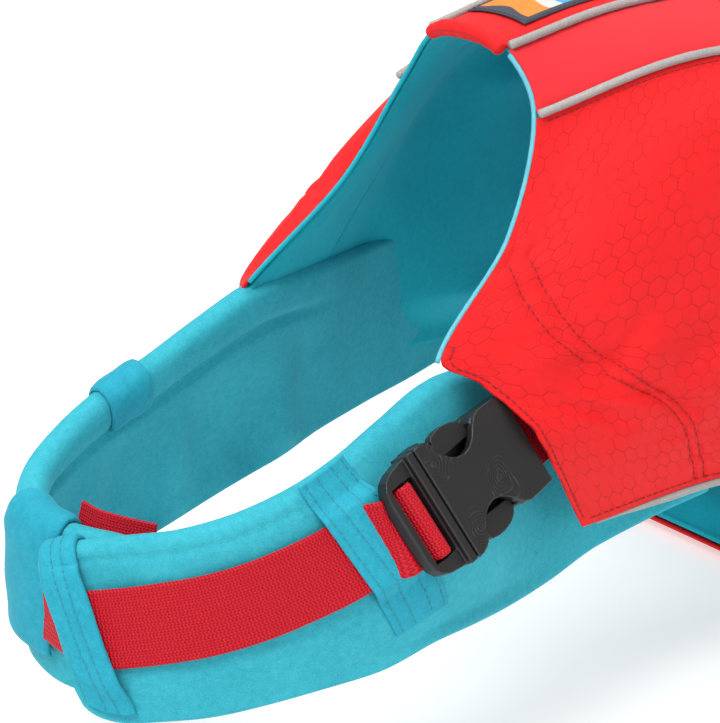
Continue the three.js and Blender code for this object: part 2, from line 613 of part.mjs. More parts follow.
// Belly straps: sewn to the right side panel, under the belly panel, up to a
// buckle on the left side.
const STRAP_NAMES = ['front', 'rear'];
const alongY = new THREE.Vector3(0, 1, 0);
BELLY_STRAPS.forEach((y, i) => {
  const frame = new THREE.Matrix4().makeBasis(new THREE.Vector3(0, 0, 1),
    new THREE.Vector3(0, -1, 0), new THREE.Vector3(1, 0, 0));
  frame.setPosition(BELLY_BUCKLE_X, y, BELLY_MOUTH_Z);
  buckle(`belly_${STRAP_NAMES[i]}_buckle`, frame);
  const under = BELLY_Z - LAYER_GAP - WEBBING_T / 2;
  const side = BELLY_BUCKLE_X - 0.6;
  const draft = [[-side, -10], [-side, -32], [-side, -54], [-side + 1.5, -70], [-side + 9, -87],
    [-BELLY_HALF - 6, -104], [-54, under + 1.8], [-BELLY_FLAT, under], [0, under],
    [BELLY_FLAT, under], [54, under + 1.8], [BELLY_HALF + 5, -105], [side - 7, -94]];
  const smoothPath = new THREE.CatmullRomCurve3(
    draft.map(([x, z]) => new THREE.Vector3(x, y, z)), false, 'centripetal').getPoints(24);
  const ladder = LADDER.map(([x, z]) => new THREE.Vector3(x, 0, z).applyMatrix4(frame));
  const strap = [...smoothPath, ...ladder];
  add(`belly_${STRAP_NAMES[i]}_webbing`, ribbon(strap, strap.map(() => alongY), WEBBING_W,
    WEBBING_T), 'webbing');
  const reach = WEBBING_W / 2;
  const low = BELLY_Z - LAYER_GAP - KEEPER_T / 2;
  const over = low - WEBBING_T - LAYER_GAP;
  const loop = [[-reach - 9, low], [-reach - 3, low], [-reach - 1.5, over], [reach + 1.5, over],
    [reach + 3, low], [reach + 9, low]].map(([dy, z]) => new THREE.Vector3(0, y + dy, z));
  const sideways = new THREE.Vector3(1, 0, 0);
  add(`belly_${STRAP_NAMES[i]}_keeper`, ribbon(loop, loop.map(() => sideways), 22, KEEPER_T),
    'neoprene');
});

// ---------------------------------------------------------------- back fittings
function spineZ(y) {
  const u = (y - FRONT_Y) / BACK_LENGTH;
  let best = 0;
  for (let i = 0; i <= 200; i += 1) {
    const q = bodyPoint(i / 200, 0);
    if (q.y <= y) best = i / 200;
  }
  return bodyPoint(Number.isFinite(best) ? best : u, 0).z;
}

HANDLES.forEach(([y0, y1], i) => {
  const name = `${STRAP_NAMES[i]}_handle`;
  const z0 = spineZ(y0) + LAYER_GAP + WEBBING_T / 2 + 0.5;
  const z1 = spineZ(y1) + LAYER_GAP + WEBBING_T / 2 + 0.5;
  const top = Math.max(z0, z1) + HANDLE_H + GRIP_T / 2;
  const arch = new THREE.CatmullRomCurve3([[y0 - 14, z0], [y0 - 2, z0], [y0 + 7, z0 + 9],
    [y0 + 18, top - 3], [y0 + 30, top], [y1 - 30, top], [y1 - 18, top - 3], [y1 - 7, z1 + 9],
    [y1 + 2, z1], [y1 + 14, z1]].map(([y, z]) => new THREE.Vector3(0, y, z)), false, 'centripetal');
  const sideways = new THREE.Vector3(1, 0, 0);
  const all = arch.getPoints(26);
  add(`${name}_webbing`, ribbon(all, all.map(() => sideways), WEBBING_W, WEBBING_T), 'webbing');
  const grip = line(6, y0 + 24, y1 - 24).map((y) => new THREE.Vector3(0, y, top));
  const long = line(6, y0 + 20, y1 - 20).map((y) => new THREE.Vector3(0, y, top));
  const sleeve = toSolid(ribbon(grip, grip.map(() => sideways), WEBBING_W + 5, GRIP_T));
  const core = toSolid(ribbon(long, long.map(() => sideways), WEBBING_W + 1, WEBBING_T + 2));
  add(`${name}_grip`, fromSolid(sleeve.subtract(core)), 'neoprene');
});

// Leash ring: its straight side turns in a folded webbing tab.
const ringZ = spineZ(D_RING_Y) + 5;
const arc = line(10, -Math.PI / 2, Math.PI / 2).map((t) => new THREE.Vector3(
  D_RING_R * Math.sin(t), D_RING_Y + 3 + D_RING_R * Math.cos(t), ringZ));
arc.unshift(new THREE.Vector3(-D_RING_R, D_RING_Y, ringZ));
arc.push(new THREE.Vector3(D_RING_R, D_RING_Y, ringZ));
const bar = new THREE.CylinderGeometry(D_RING_WIRE_R, D_RING_WIRE_R, 2 * D_RING_R + 3, 8)
  .rotateZ(Math.PI / 2).translate(0, D_RING_Y, ringZ);
add('d_ring', fromSolid(toSolid(rod(arc, D_RING_WIRE_R, 8, 22)).add(toSolid(bar))), 'steel');
const TAB_IN = D_RING_WIRE_R + 0.35;
const tabOut = TAB_IN + WEBBING_T;
const tabShape = new THREE.Shape();
const floorZ = -5 + LAYER_GAP + 0.9;
tabShape.moveTo(-26, floorZ);
tabShape.lineTo(0, floorZ);
tabShape.absarc(0, 0, tabOut, -Math.PI / 2, Math.PI / 2, false);
tabShape.lineTo(-6, tabOut - 1);
tabShape.lineTo(-12, floorZ + 2 * WEBBING_T);
tabShape.lineTo(-26, floorZ + 2 * WEBBING_T);
const eye = new THREE.Path();
eye.absarc(0, 0, TAB_IN, 0, 2 * Math.PI, true);
tabShape.holes.push(eye);
const tab = new THREE.ExtrudeGeometry(tabShape, { depth: 20, bevelEnabled: false, curveSegments: 5 });
tab.rotateX(Math.PI / 2).rotateZ(Math.PI / 2).translate(-10, D_RING_Y, ringZ);
add('d_ring_tab', tab, 'webbing');

export default jacket;
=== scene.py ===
# A dog's life jacket: padded back and side panels, a two-part chest band with a
# side-release buckle, a belly panel with two buckled straps, two grab handles and
# a leash ring. Metres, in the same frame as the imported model.
import json
import math

import bmesh
import bpy
import numpy as np
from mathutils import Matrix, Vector


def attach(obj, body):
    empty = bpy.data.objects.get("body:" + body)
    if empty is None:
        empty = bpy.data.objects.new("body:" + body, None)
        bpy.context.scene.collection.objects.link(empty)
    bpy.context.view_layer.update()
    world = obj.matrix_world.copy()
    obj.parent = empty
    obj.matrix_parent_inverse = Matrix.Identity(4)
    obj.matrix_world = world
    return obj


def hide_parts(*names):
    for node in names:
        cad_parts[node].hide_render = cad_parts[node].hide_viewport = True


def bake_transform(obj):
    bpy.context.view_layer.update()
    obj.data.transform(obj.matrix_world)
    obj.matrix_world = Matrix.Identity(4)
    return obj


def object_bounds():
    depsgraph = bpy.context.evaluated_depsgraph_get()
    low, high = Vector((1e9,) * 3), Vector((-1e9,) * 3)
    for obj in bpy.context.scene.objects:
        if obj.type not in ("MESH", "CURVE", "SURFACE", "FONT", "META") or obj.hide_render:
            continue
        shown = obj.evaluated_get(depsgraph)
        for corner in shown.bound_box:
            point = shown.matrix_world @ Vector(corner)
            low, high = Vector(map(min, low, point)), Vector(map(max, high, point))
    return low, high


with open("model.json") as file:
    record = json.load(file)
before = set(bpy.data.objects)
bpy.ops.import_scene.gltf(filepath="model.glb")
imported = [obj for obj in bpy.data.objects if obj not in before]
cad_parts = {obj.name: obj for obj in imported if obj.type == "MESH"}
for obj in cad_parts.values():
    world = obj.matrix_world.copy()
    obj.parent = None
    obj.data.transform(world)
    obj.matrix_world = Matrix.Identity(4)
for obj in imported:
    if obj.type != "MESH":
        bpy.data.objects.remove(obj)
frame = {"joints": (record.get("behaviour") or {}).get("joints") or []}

cad_box = [list(corner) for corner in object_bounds()]
MM = 0.001


# ------------------------------------------------------------------ camera, floor and light
# The jacket is seen from its front left and a little above, on a plain pale floor
# just under the belly panel, in the soft light of a product studio.
CAMERA_AZIMUTH = math.radians(50)
CAMERA_ELEVATION = math.radians(22)
CAMERA_DISTANCE = 0.648
CAMERA_TARGET = Vector((0, -0.162, 0))

toward = Vector((math.sin(CAMERA_AZIMUTH) * math.cos(CAMERA_ELEVATION),
                 -math.cos(CAMERA_AZIMUTH) * math.cos(CAMERA_ELEVATION),
                 math.sin(CAMERA_ELEVATION)))
camera = bpy.data.objects.new("camera", bpy.data.cameras.new("camera"))
camera.data.lens = 95.6
camera.data.sensor_width = 36
camera.data.clip_start = 0.01
camera.location = CAMERA_TARGET + CAMERA_DISTANCE * toward
camera.rotation_mode = "QUATERNION"
camera.rotation_quaternion = (-toward).to_track_quat("-Z", "Y")
bpy.context.scene.collection.objects.link(camera)
bpy.context.scene.camera = camera


def plain_object(name, mesh):
    made = bpy.data.objects.new(name, mesh)
    bpy.context.scene.collection.objects.link(made)
    return made


def new_material(name):
    """An empty node material with its output; returns it, its tree and its shader."""
    made = bpy.data.materials.new(name)
    made.use_nodes = True
    tree = made.node_tree
    tree.nodes.clear()
    shader = tree.nodes.new("ShaderNodeBsdfPrincipled")
    output = tree.nodes.new("ShaderNodeOutputMaterial")
    tree.links.new(shader.outputs["BSDF"], output.inputs["Surface"])
    return made, tree, shader


FLOOR_SIZE = 6
FLOOR_DROP = 0.0015
floor_z = cad_box[0][2] - FLOOR_DROP
floor_mesh = bpy.data.meshes.new("studio_floor")
floor_mesh.from_pydata([(x * FLOOR_SIZE, y * FLOOR_SIZE, floor_z)
                        for x, y in ((-1, -1), (1, -1), (1, 1), (-1, 1))], [], [(0, 1, 2, 3)])
floor = plain_object("studio_floor", floor_mesh)
floor_material, floor_tree, floor_shader = new_material("studio_floor_paper")
floor_noise = floor_tree.nodes.new("ShaderNodeTexNoise")
floor_noise.inputs["Scale"].default_value = 3
floor_ramp = floor_tree.nodes.new("ShaderNodeValToRGB")
floor_ramp.color_ramp.elements[0].color = (0.55, 0.55, 0.55, 1)
floor_ramp.color_ramp.elements[1].color = (0.58, 0.58, 0.58, 1)
floor_tree.links.new(floor_noise.outputs["Fac"], floor_ramp.inputs["Fac"])
floor_tree.links.new(floor_ramp.outputs["Color"], floor_shader.inputs["Base Color"])
floor_shader.inputs["Roughness"].default_value = 0.9
floor_shader.inputs["Specular IOR Level"].default_value = 0.0
floor_shader.inputs["Emission Color"].default_value = (1, 1, 1, 1)
floor_shader.inputs["Emission Strength"].default_value = 0.55
floor.data.materials.append(floor_material)

world = bpy.data.worlds.new("studio")
world.use_nodes = True
world.node_tree.nodes["Background"].inputs["Color"].default_value = (1, 1, 1, 1)
world.node_tree.nodes["Background"].inputs["Strength"].default_value = 0.52
bpy.context.scene.world = world
bpy.context.scene.view_settings.view_transform = "Standard"


def softbox(name, place, aim, size, watts):
    lamp = bpy.data.lights.new(name, "AREA")
    lamp.shape = "DISK"
    lamp.size = size
    lamp.energy = watts
    made = bpy.data.objects.new(name, lamp)
    made.location = place
    made.rotation_mode = "QUATERNION"
    made.rotation_quaternion = (Vector(aim) - Vector(place)).to_track_quat("-Z", "Y")
    bpy.context.scene.collection.objects.link(made)


softbox("key_softbox", (0.15, -1.05, 1.35), (0, -0.1, 0), 0.8, 19)
softbox("overhead_softbox", (-0.3, 0.25, 1.6), (0, 0, 0), 1.2, 13)
softbox("left_fill", (1.7, -0.3, 0.6), (0, 0, 0), 0.9, 6)


# ------------------------------------------------------------------ side panels
# The padded sides: a coated red ripstop shell cut with the neck edge, the flap over
# the chest buckle and the hem in one, quilted to its foam by a double row of
# stitching and topstitched round its free edges.
SHELL = 1.2 * MM
PANEL_GAP = 0.6 * MM
SEAM_ALLOWANCE = 0.5 * MM
SIDE_FOAM = 13 * MM
SPINE_FOAM = 7 * MM
LINING = 1.8 * MM
INSIDE = SHELL + PANEL_GAP
BACK_LENGTH = 0.365
HEM = 6

# Seams from the front edge to the rear edge, millimetres: spine, spine piping, yoke
# piping, shoulder, chest line, flap, hem.
SEAMS = np.array([
    [[0, -114.5, 108], [0, -65, 114.5], [0, 21.5, 115.5], [0, 108, 112.5], [0, 183.5, 109],
     [0, 250.5, 106]],
    [[18.5, -114.5, 103.5], [21.5, -62.5, 111], [25, 21.5, 111], [27, 108, 108],
     [27, 183.5, 105], [22.5, 249.5, 101.5]],
    [[33.5, -115.5, 84], [47.5, -54, 97], [60.5, 24, 93], [65, 106, 88.5], [62.5, 181.5, 85.5],
     [54, 246, 82]],
    [[43, -135, 49.5], [67, -69, 67], [83, 18.5, 60.5], [86.5, 101.5, 56], [83, 176, 54],
     [69, 240, 53]],
    [[52, -173, 13.5], [79, -82, 11], [90.5, 13, 4.5], [93, 96, 2], [87.5, 168.5, 6.5],
     [71.5, 232, 17.5]],
    [[73.5, -143.5, -7.5], [83, -75.5, -14], [92, 11, -24], [92, 90.5, -27], [85.5, 160, -18.5],
     [71.5, 223.5, -2]],
    [[74.5, -128.5, -44.5], [82, -69, -42], [87.5, 8.5, -54], [86.5, 85.5, -58.5],
     [80, 151, -48.5], [68, 213, -19.5]],
]) * MM


def smooth(a, b, x):
    t = np.clip((np.asarray(x, float) - a) / (b - a), 0, 1)
    return t * t * (3 - 2 * t)


def through(points, x):
    """A smooth curve through equally spaced points, or rows of points, at x."""
    points = np.asarray(points, float)
    n = len(points) - 1
    x = np.atleast_1d(np.asarray(x, float))
    i = np.clip(np.floor(x).astype(int), 0, n - 1)
    t = (x - i).reshape((-1,) + (1,) * (points.ndim - 1))
    ends = np.concatenate([[2 * points[0] - points[1]], points, [2 * points[-1] - points[-2]]])
    p0, p1, p2, p3 = ends[i], ends[i + 1], ends[i + 2], ends[i + 3]
    return 0.5 * (2 * p1 + (p2 - p0) * t + (2 * p0 - 5 * p1 + 4 * p2 - p3) * t * t
                  + (3 * p1 - 3 * p2 + p3 - p0) * t ** 3)


def body_skin(us, ks):
    """Outer face of the jacket's body, as a grid (ks, us) of points."""
    seams = np.stack([through(line, np.asarray(us) * 5) for line in SEAMS])
    mirrored = seams[:0:-1] * np.array([-1, 1, 1])
    return through(np.concatenate([mirrored, seams]), np.asarray(ks) + HEM)


def body_normals(us, ks):
    e = 0.004
    us, ks = np.asarray(us, float), np.asarray(ks, float)
    du = body_skin(us + e, ks) - body_skin(us - e, ks)
    dk = body_skin(us, ks + 4 * e) - body_skin(us, ks - 4 * e)
    n = np.cross(dk, du)
    return n / np.linalg.norm(n, axis=2, keepdims=True)


def body(us, ks, depth):
    return body_skin(us, ks) - body_normals(us, ks) * np.broadcast_to(
        depth, (len(ks), len(us)))[..., None]


def foam_depth(u, k):
    """Thickness of the foam insert at each (u, k)."""
    a = np.abs(k)
    rear = 1 - smooth(0.9, 0.97, u)
    top = SPINE_FOAM * (1 - smooth(1.4, 1.9, a)) * smooth(0.05, 0.12, u) * rear
    side = SIDE_FOAM * smooth(2.1, 2.8, a) * (1 - smooth(5.1, 5.8, a))
    return top + side * smooth(0.14, 0.26, u) * rear


RIM_INSET = 0.42                # how far each face is drawn in at the rim, of half its thickness


def grid_object(name, outer, inner, flat):
    """A closed piece of cloth from two grids of points; flat holds each point's place on
    the cut cloth, in metres, and the rim between the faces is rounded."""
    na, nb = outer.shape[:2]
    rim = [(i, 0) for i in range(na)] + [(na - 1, j) for j in range(1, nb)]
    rim += [(i, nb - 1) for i in range(na - 2, -1, -1)] + [(0, j) for j in range(nb - 2, 0, -1)]
    middle = (outer + inner) / 2
    pulled = []
    for face in (outer, inner):
        face = face.copy()
        thick = np.linalg.norm(outer - inner, axis=2) / 2 * RIM_INSET
        for rows, inward in (((0, slice(None)), (1, slice(None))),
                             ((-1, slice(None)), (-2, slice(None))),
                             ((slice(None), 0), (slice(None), 1)),
                             ((slice(None), -1), (slice(None), -2))):
            away = face[inward] - face[rows]
            length = np.maximum(np.linalg.norm(away, axis=-1, keepdims=True), 1e-9)
            face[rows] += away / length * np.minimum(thick[rows][..., None], 0.45 * length)
        pulled.append(face)
    verts = np.concatenate([pulled[0].reshape(-1, 3), pulled[1].reshape(-1, 3),
                            np.array([middle[i, j] for i, j in rim])])
    at = np.arange(na * nb).reshape(na, nb)
    top = np.stack([at[:-1, :-1], at[1:, :-1], at[1:, 1:], at[:-1, 1:]], -1).reshape(-1, 4)
    under = top[:, ::-1] + na * nb
    ring = np.arange(len(rim)) + 2 * na * nb
    edge = np.array([at[i, j] for i, j in rim])
    after, ring_after = np.roll(edge, -1), np.roll(ring, -1)
    sides = np.concatenate([
        np.stack([edge, ring, ring_after, after], -1),
        np.stack([ring, edge + na * nb, after + na * nb, ring_after], -1)])
    places = np.concatenate([flat.reshape(-1, 2)] * 2 + [[flat[i, j] for i, j in rim]])
    return mesh_object(name, verts, np.concatenate([top, under, sides]), places)


def mesh_object(name, verts, faces, places=None):
    """A smooth-shaded mesh with outward faces, and its place on the cut cloth kept with it."""
    mesh = bpy.data.meshes.new(name)
    mesh.from_pydata([tuple(v) for v in verts], [], [tuple(int(i) for i in f) for f in faces])
    if places is not None:
        kept = mesh.attributes.new("cloth", "FLOAT_VECTOR", "POINT")
        flat = np.zeros((len(verts), 3), np.float32)
        flat[:, :2] = places
        kept.data.foreach_set("vector", flat.ravel())
    shaping = bmesh.new()
    shaping.from_mesh(mesh)
    bmesh.ops.recalc_face_normals(shaping, faces=shaping.faces)
    if shaping.calc_volume(signed=True) < 0:
        bmesh.ops.reverse_faces(shaping, faces=shaping.faces)
    shaping.to_mesh(mesh)
    shaping.free()
    mesh.shade_smooth()
    return plain_object(name, mesh)


def flat_places(points):
    """Distances over a grid of points, along its rows and down its columns."""
    across = np.linalg.norm(np.diff(points, axis=0), axis=2)
    along = np.linalg.norm(np.diff(points, axis=1), axis=2)
    a = np.concatenate([np.zeros((1, points.shape[1])), np.cumsum(across, axis=0)])
    b = np.concatenate([np.zeros((points.shape[0], 1)), np.cumsum(along, axis=1)], axis=1)
    a = np.broadcast_to(a.mean(axis=1, keepdims=True), a.shape)
    b = np.broadcast_to(b.mean(axis=0, keepdims=True), b.shape)
    return np.stack([b, a], -1)


def stitching(name, rows, length, width, material, height=0.25 * MM):
    """Thread dashes along rows of (points, normals); each dash dips in at its ends."""
    verts, faces = [], []
    for points, normals in rows:
        points, normals = np.asarray(points, float), np.asarray(normals, float)
        run = np.concatenate([[0], np.cumsum(np.linalg.norm(np.diff(points, axis=0), axis=1))])
        gap = 0.32 * length
        for start in np.arange(0.5 * gap, run[-1] - length, length + gap):
            stations = []
            for part in (0, 0.2, 0.5, 0.8, 1):
                d = start + part * length
                p = np.array([np.interp(d, run, points[:, c]) for c in range(3)])
                n = np.array([np.interp(d, run, normals[:, c]) for c in range(3)])
                n /= np.linalg.norm(n)
                stations.append((p, n, math.sin(math.pi * (0.12 + 0.76 * part))))
            forward = stations[-1][0] - stations[0][0]
            first = len(verts)
            for p, n, swell in stations:
                side = np.cross(n, forward)
                side /= np.linalg.norm(side)
                lift = height * (swell - 0.45)
                for c, s in ((1, 0), (0.5, 0.9), (-0.5, 0.9), (-1, 0), (-0.5, -0.7), (0.5, -0.7)):
                    verts.append(p + side * c * width / 2 * (0.55 + 0.45 * swell)
                                 + n * (lift + s * height * 0.7))
            for ring in range(4):
                for j in range(6):
                    a, b = first + ring * 6 + j, first + ring * 6 + (j + 1) % 6
                    faces.append((a, b, b + 6, a + 6))
            faces.append(tuple(first + j for j in range(6)))
            faces.append(tuple(first + 24 + j for j in range(5, -1, -1)))
    made = mesh_object(name, verts, faces)
    made.data.materials.append(material)
    return made


class Wiring:
    """Short names for wiring nodes in one tree."""

    def __init__(self, tree):
        self.tree = tree

    def put(self, kind, **settings):
        node = self.tree.nodes.new(kind)
        for key, value in settings.items():
            setattr(node, key, value)
        return node

    def feed(self, value, socket):
        if isinstance(value, bpy.types.NodeSocket):
            self.tree.links.new(value, socket)
        else:
            socket.default_value = value

    def math(self, operation, *values, clamp=False):
        node = self.put("ShaderNodeMath", operation=operation, use_clamp=clamp)
        for value, socket in zip(values, node.inputs):
            self.feed(value, socket)
        return node.outputs[0]

    def vector(self, operation, *values):
        node = self.put("ShaderNodeVectorMath", operation=operation)
        for value, socket in zip(values, node.inputs):
            self.feed(value, socket)
        return node.outputs["Value" if operation in ("LENGTH", "DOT_PRODUCT") else "Vector"]

    def noise(self, where, scale, detail=2.0, roughness=0.5):
        node = self.put("ShaderNodeTexNoise")
        self.feed(where, node.inputs["Vector"])
        self.feed(scale, node.inputs["Scale"])
        node.inputs["Detail"].default_value = detail
        node.inputs["Roughness"].default_value = roughness
        return node.outputs["Fac"]

    def blend(self, amount, first, second, kind="MIX"):
        node = self.put("ShaderNodeMix", data_type="RGBA", blend_type=kind)
        self.feed(amount, node.inputs[0])
        self.feed(first, node.inputs[6])
        self.feed(second, node.inputs[7])
        return node.outputs[2]

    def spread(self, value, low, high, to_low=0.0, to_high=1.0):
        node = self.put("ShaderNodeMapRange")
        for v, i in zip((value, low, high, to_low, to_high), range(5)):
            self.feed(v, node.inputs[i])
        return node.outputs[0]

    def bump(self, height, distance, strength):
        node = self.put("ShaderNodeBump")
        self.feed(height, node.inputs["Height"])
        node.inputs["Distance"].default_value = distance
        node.inputs["Strength"].default_value = strength
        return node.outputs["Normal"]


def shader_group(name, inputs, outputs):
    """A node group with named sockets; returns it, its wiring and its two end nodes."""
    group = bpy.data.node_groups.new(name, "ShaderNodeTree")
    for label, kind, value in inputs:
        made = group.interface.new_socket(label, in_out="INPUT", socket_type=kind)
        if value is not None:
            made.default_value = value
    for label, kind in outputs:
        group.interface.new_socket(label, in_out="OUTPUT", socket_type=kind)
    wiring = Wiring(group)
    return group, wiring, wiring.put("NodeGroupInput"), wiring.put("NodeGroupOutput")


FLOAT, COLOUR, VECTOR = "NodeSocketFloat", "NodeSocketColor", "NodeSocketVector"

# Plain weave: fine warp and weft over the cut cloth, with slight slubs.
weave_group, w, g_in, g_out = shader_group(
    "woven_grain", [("Place", VECTOR, None), ("Pitch", FLOAT, 0.0005), ("Slub", FLOAT, 0.5)],
    [("Height", FLOAT), ("Shade", FLOAT)])
turns = w.math("DIVIDE", 2 * math.pi, g_in.outputs["Pitch"])
split = w.put("ShaderNodeSeparateXYZ")
w.feed(g_in.outputs["Place"], split.inputs[0])
warp = w.math("SINE", w.math("MULTIPLY", split.outputs["X"], turns))
weft = w.math("SINE", w.math("MULTIPLY", split.outputs["Y"], turns))
slub = w.noise(g_in.outputs["Place"], 260, 3)
cross = w.math("MULTIPLY", warp, weft)
w.feed(w.math("ADD", cross, w.math("MULTIPLY", slub, g_in.outputs["Slub"])),
       g_out.inputs["Height"])
w.feed(w.spread(w.math("ADD", w.math("MULTIPLY", cross, 0.25), slub), 0.1, 0.9),
       g_out.inputs["Shade"])

# Ripstop figure: thin hexagon outlines scattered over the cloth in loose patches.
hex_group, w, g_in, g_out = shader_group(
    "hexagon_ripstop", [("Place", VECTOR, None), ("Size", FLOAT, 0.0060),
                        ("Line", FLOAT, 0.05), ("Patchiness", FLOAT, 0.5)],
    [("Line Mask", FLOAT)])
size_vector = w.put("ShaderNodeCombineXYZ")
for axis in range(3):
    w.feed(g_in.outputs["Size"], size_vector.inputs[axis])
scaled = w.vector("DIVIDE", g_in.outputs["Place"], size_vector.outputs[0])
scaled = w.vector("ADD", scaled, (50, 50, 0))
PERIOD = (1.0, 1.7320508, 1.0)
HALF_PERIOD = (0.5, 0.8660254, 0.0)
FLATTEN = (1, 1, 0)
cell_a = w.vector("SUBTRACT", w.vector("MODULO", scaled, PERIOD), HALF_PERIOD)
cell_b = w.vector("SUBTRACT", w.vector("MODULO", w.vector("ADD", scaled, HALF_PERIOD), PERIOD),
                  HALF_PERIOD)
cell_a, cell_b = (w.vector("MULTIPLY", c, FLATTEN) for c in (cell_a, cell_b))
nearer = w.math("LESS_THAN", w.vector("LENGTH", cell_a), w.vector("LENGTH", cell_b))
pick = w.put("ShaderNodeMix", data_type="VECTOR")
w.feed(nearer, pick.inputs[0])
w.feed(cell_b, pick.inputs[4])
w.feed(cell_a, pick.inputs[5])
cell = w.vector("ABSOLUTE", pick.outputs[1])
cell_parts = w.put("ShaderNodeSeparateXYZ")
w.feed(cell, cell_parts.inputs[0])
to_side = w.math("MAXIMUM", cell_parts.outputs["X"],
                 w.vector("DOT_PRODUCT", cell, (0.5, 0.8660254, 0)))
from_edge = w.math("SUBTRACT", 0.5, to_side)
outline = w.math("SUBTRACT", 1, w.math("DIVIDE", from_edge, g_in.outputs["Line"]), clamp=True)
patch = w.noise(g_in.outputs["Place"], 75, 2)
patch = w.spread(patch, w.math("SUBTRACT", g_in.outputs["Patchiness"], 0.06),
                 w.math("ADD", g_in.outputs["Patchiness"], 0.06))
w.feed(w.math("MULTIPLY", outline, patch), g_out.inputs["Line Mask"])

# Handling: faint darkening and rubbing in soft patches, in object space.
wear_group, w, g_in, g_out = shader_group(
    "handling", [("Colour", COLOUR, (1, 1, 1, 1)), ("Amount", FLOAT, 0.15),
                 ("Scale", FLOAT, 18)], [("Colour", COLOUR), ("Patch", FLOAT)])
where = w.put("ShaderNodeTexCoord").outputs["Object"]
broad = w.noise(where, g_in.outputs["Scale"], 4)
grime = w.spread(broad, 0.35, 0.7)
darker = w.blend(1.0, g_in.outputs["Colour"], (0.72, 0.72, 0.74, 1), "MULTIPLY")
w.feed(w.blend(w.math("MULTIPLY", grime, g_in.outputs["Amount"]), g_in.outputs["Colour"],
               darker), g_out.inputs["Colour"])
w.feed(grime, g_out.inputs["Patch"])


def use(wiring, group, **values):
    node = wiring.put("ShaderNodeGroup", node_tree=group)
    for key, value in values.items():
        wiring.feed(value, node.inputs[key.replace("_", " ")])
    return node


def cloth_place(wiring):
    return wiring.put("ShaderNodeAttribute", attribute_name="cloth").outputs["Vector"]


def woven_cloth(name, colour, line_colour, pitch, patchiness, roughness, sheen, hexagons=True):
    made, tree, shader = new_material(name)
    w = Wiring(tree)
    place = cloth_place(w)
    grain = use(w, weave_group, Place=place, Pitch=pitch, Slub=0.6)
    worn = use(w, wear_group, Colour=colour, Amount=0.16, Scale=14)
    base = w.blend(w.math("MULTIPLY", grain.outputs["Shade"], 0.16), worn.outputs["Colour"],
                   line_colour)
    height = w.math("MULTIPLY", grain.outputs["Height"], 0.35)
    if hexagons:
        figure = use(w, hex_group, Place=place, Patchiness=patchiness)
        base = w.blend(w.math("MULTIPLY", figure.outputs["Line Mask"], 0.6), base, line_colour)
        height = w.math("SUBTRACT", height, w.math("MULTIPLY", figure.outputs["Line Mask"], 1.3))
    w.feed(base, shader.inputs["Base Color"])
    rough = w.math("ADD", roughness, w.math("MULTIPLY", worn.outputs["Patch"], 0.12))
    w.feed(rough, shader.inputs["Roughness"])
    w.feed(w.bump(height, 0.12 * MM, 0.8), shader.inputs["Normal"])
    shader.inputs["Sheen Weight"].default_value = sheen
    shader.inputs["Sheen Roughness"].default_value = 0.4
    shader.inputs["Sheen Tint"].default_value = (1, 0.75, 0.75, 1)
    shader.inputs["Specular IOR Level"].default_value = 0.22
    return made


def thread_material(name, colour):
    made, tree, shader = new_material(name)
    w = Wiring(tree)
    where = w.put("ShaderNodeTexCoord").outputs["Object"]
    twist = w.noise(where, 2600, 1)
    w.feed(w.blend(w.math("MULTIPLY", twist, 0.5), colour,
                   tuple(0.6 * c for c in colour[:3]) + (1,)), shader.inputs["Base Color"])
    w.feed(w.bump(twist, 0.05 * MM, 0.6), shader.inputs["Normal"])
    shader.inputs["Roughness"].default_value = 0.6
    return made


RIPSTOP_RED = (0.80, 0.010, 0.012, 1)
RIPSTOP_LINE = (0.42, 0.003, 0.006, 1)
ripstop = woven_cloth("coated_ripstop", RIPSTOP_RED, RIPSTOP_LINE, 0.6 * MM, 0.45, 0.52, 0.04)
red_thread = thread_material("red_thread", (0.30, 0.005, 0.009, 1))

# The quilting row's middle on the panel: where it crosses the chest lines.
QUILT_K = np.array([3.22, 3.6, 4.1, 4.6, 5.2, 5.84])
QUILT_U = np.array([0.022, 0.068, 0.125, 0.150, 0.165, 0.174])
QUILT_HALF = 2.4 * MM           # half the distance between its two rows
LINE_STEP = 42 * MM             # from one chest line to the next


def quilt_line(k):
    """The quilting's middle line as u, and how much its lean stretches a step in u."""
    slope = np.interp(k, QUILT_K, np.gradient(QUILT_U, QUILT_K))
    return np.interp(k, QUILT_K, QUILT_U), np.sqrt(1 + (slope * BACK_LENGTH / LINE_STEP) ** 2)


def quilt_distance(u, k):
    """Distance from the quilting's middle line, metres, and how far the row is present."""
    line_u, lean = quilt_line(k)
    there = smooth(3.05, 3.3, k) * (1 - smooth(5.9, 6.0, k))
    return (u - line_u) * BACK_LENGTH / lean, there


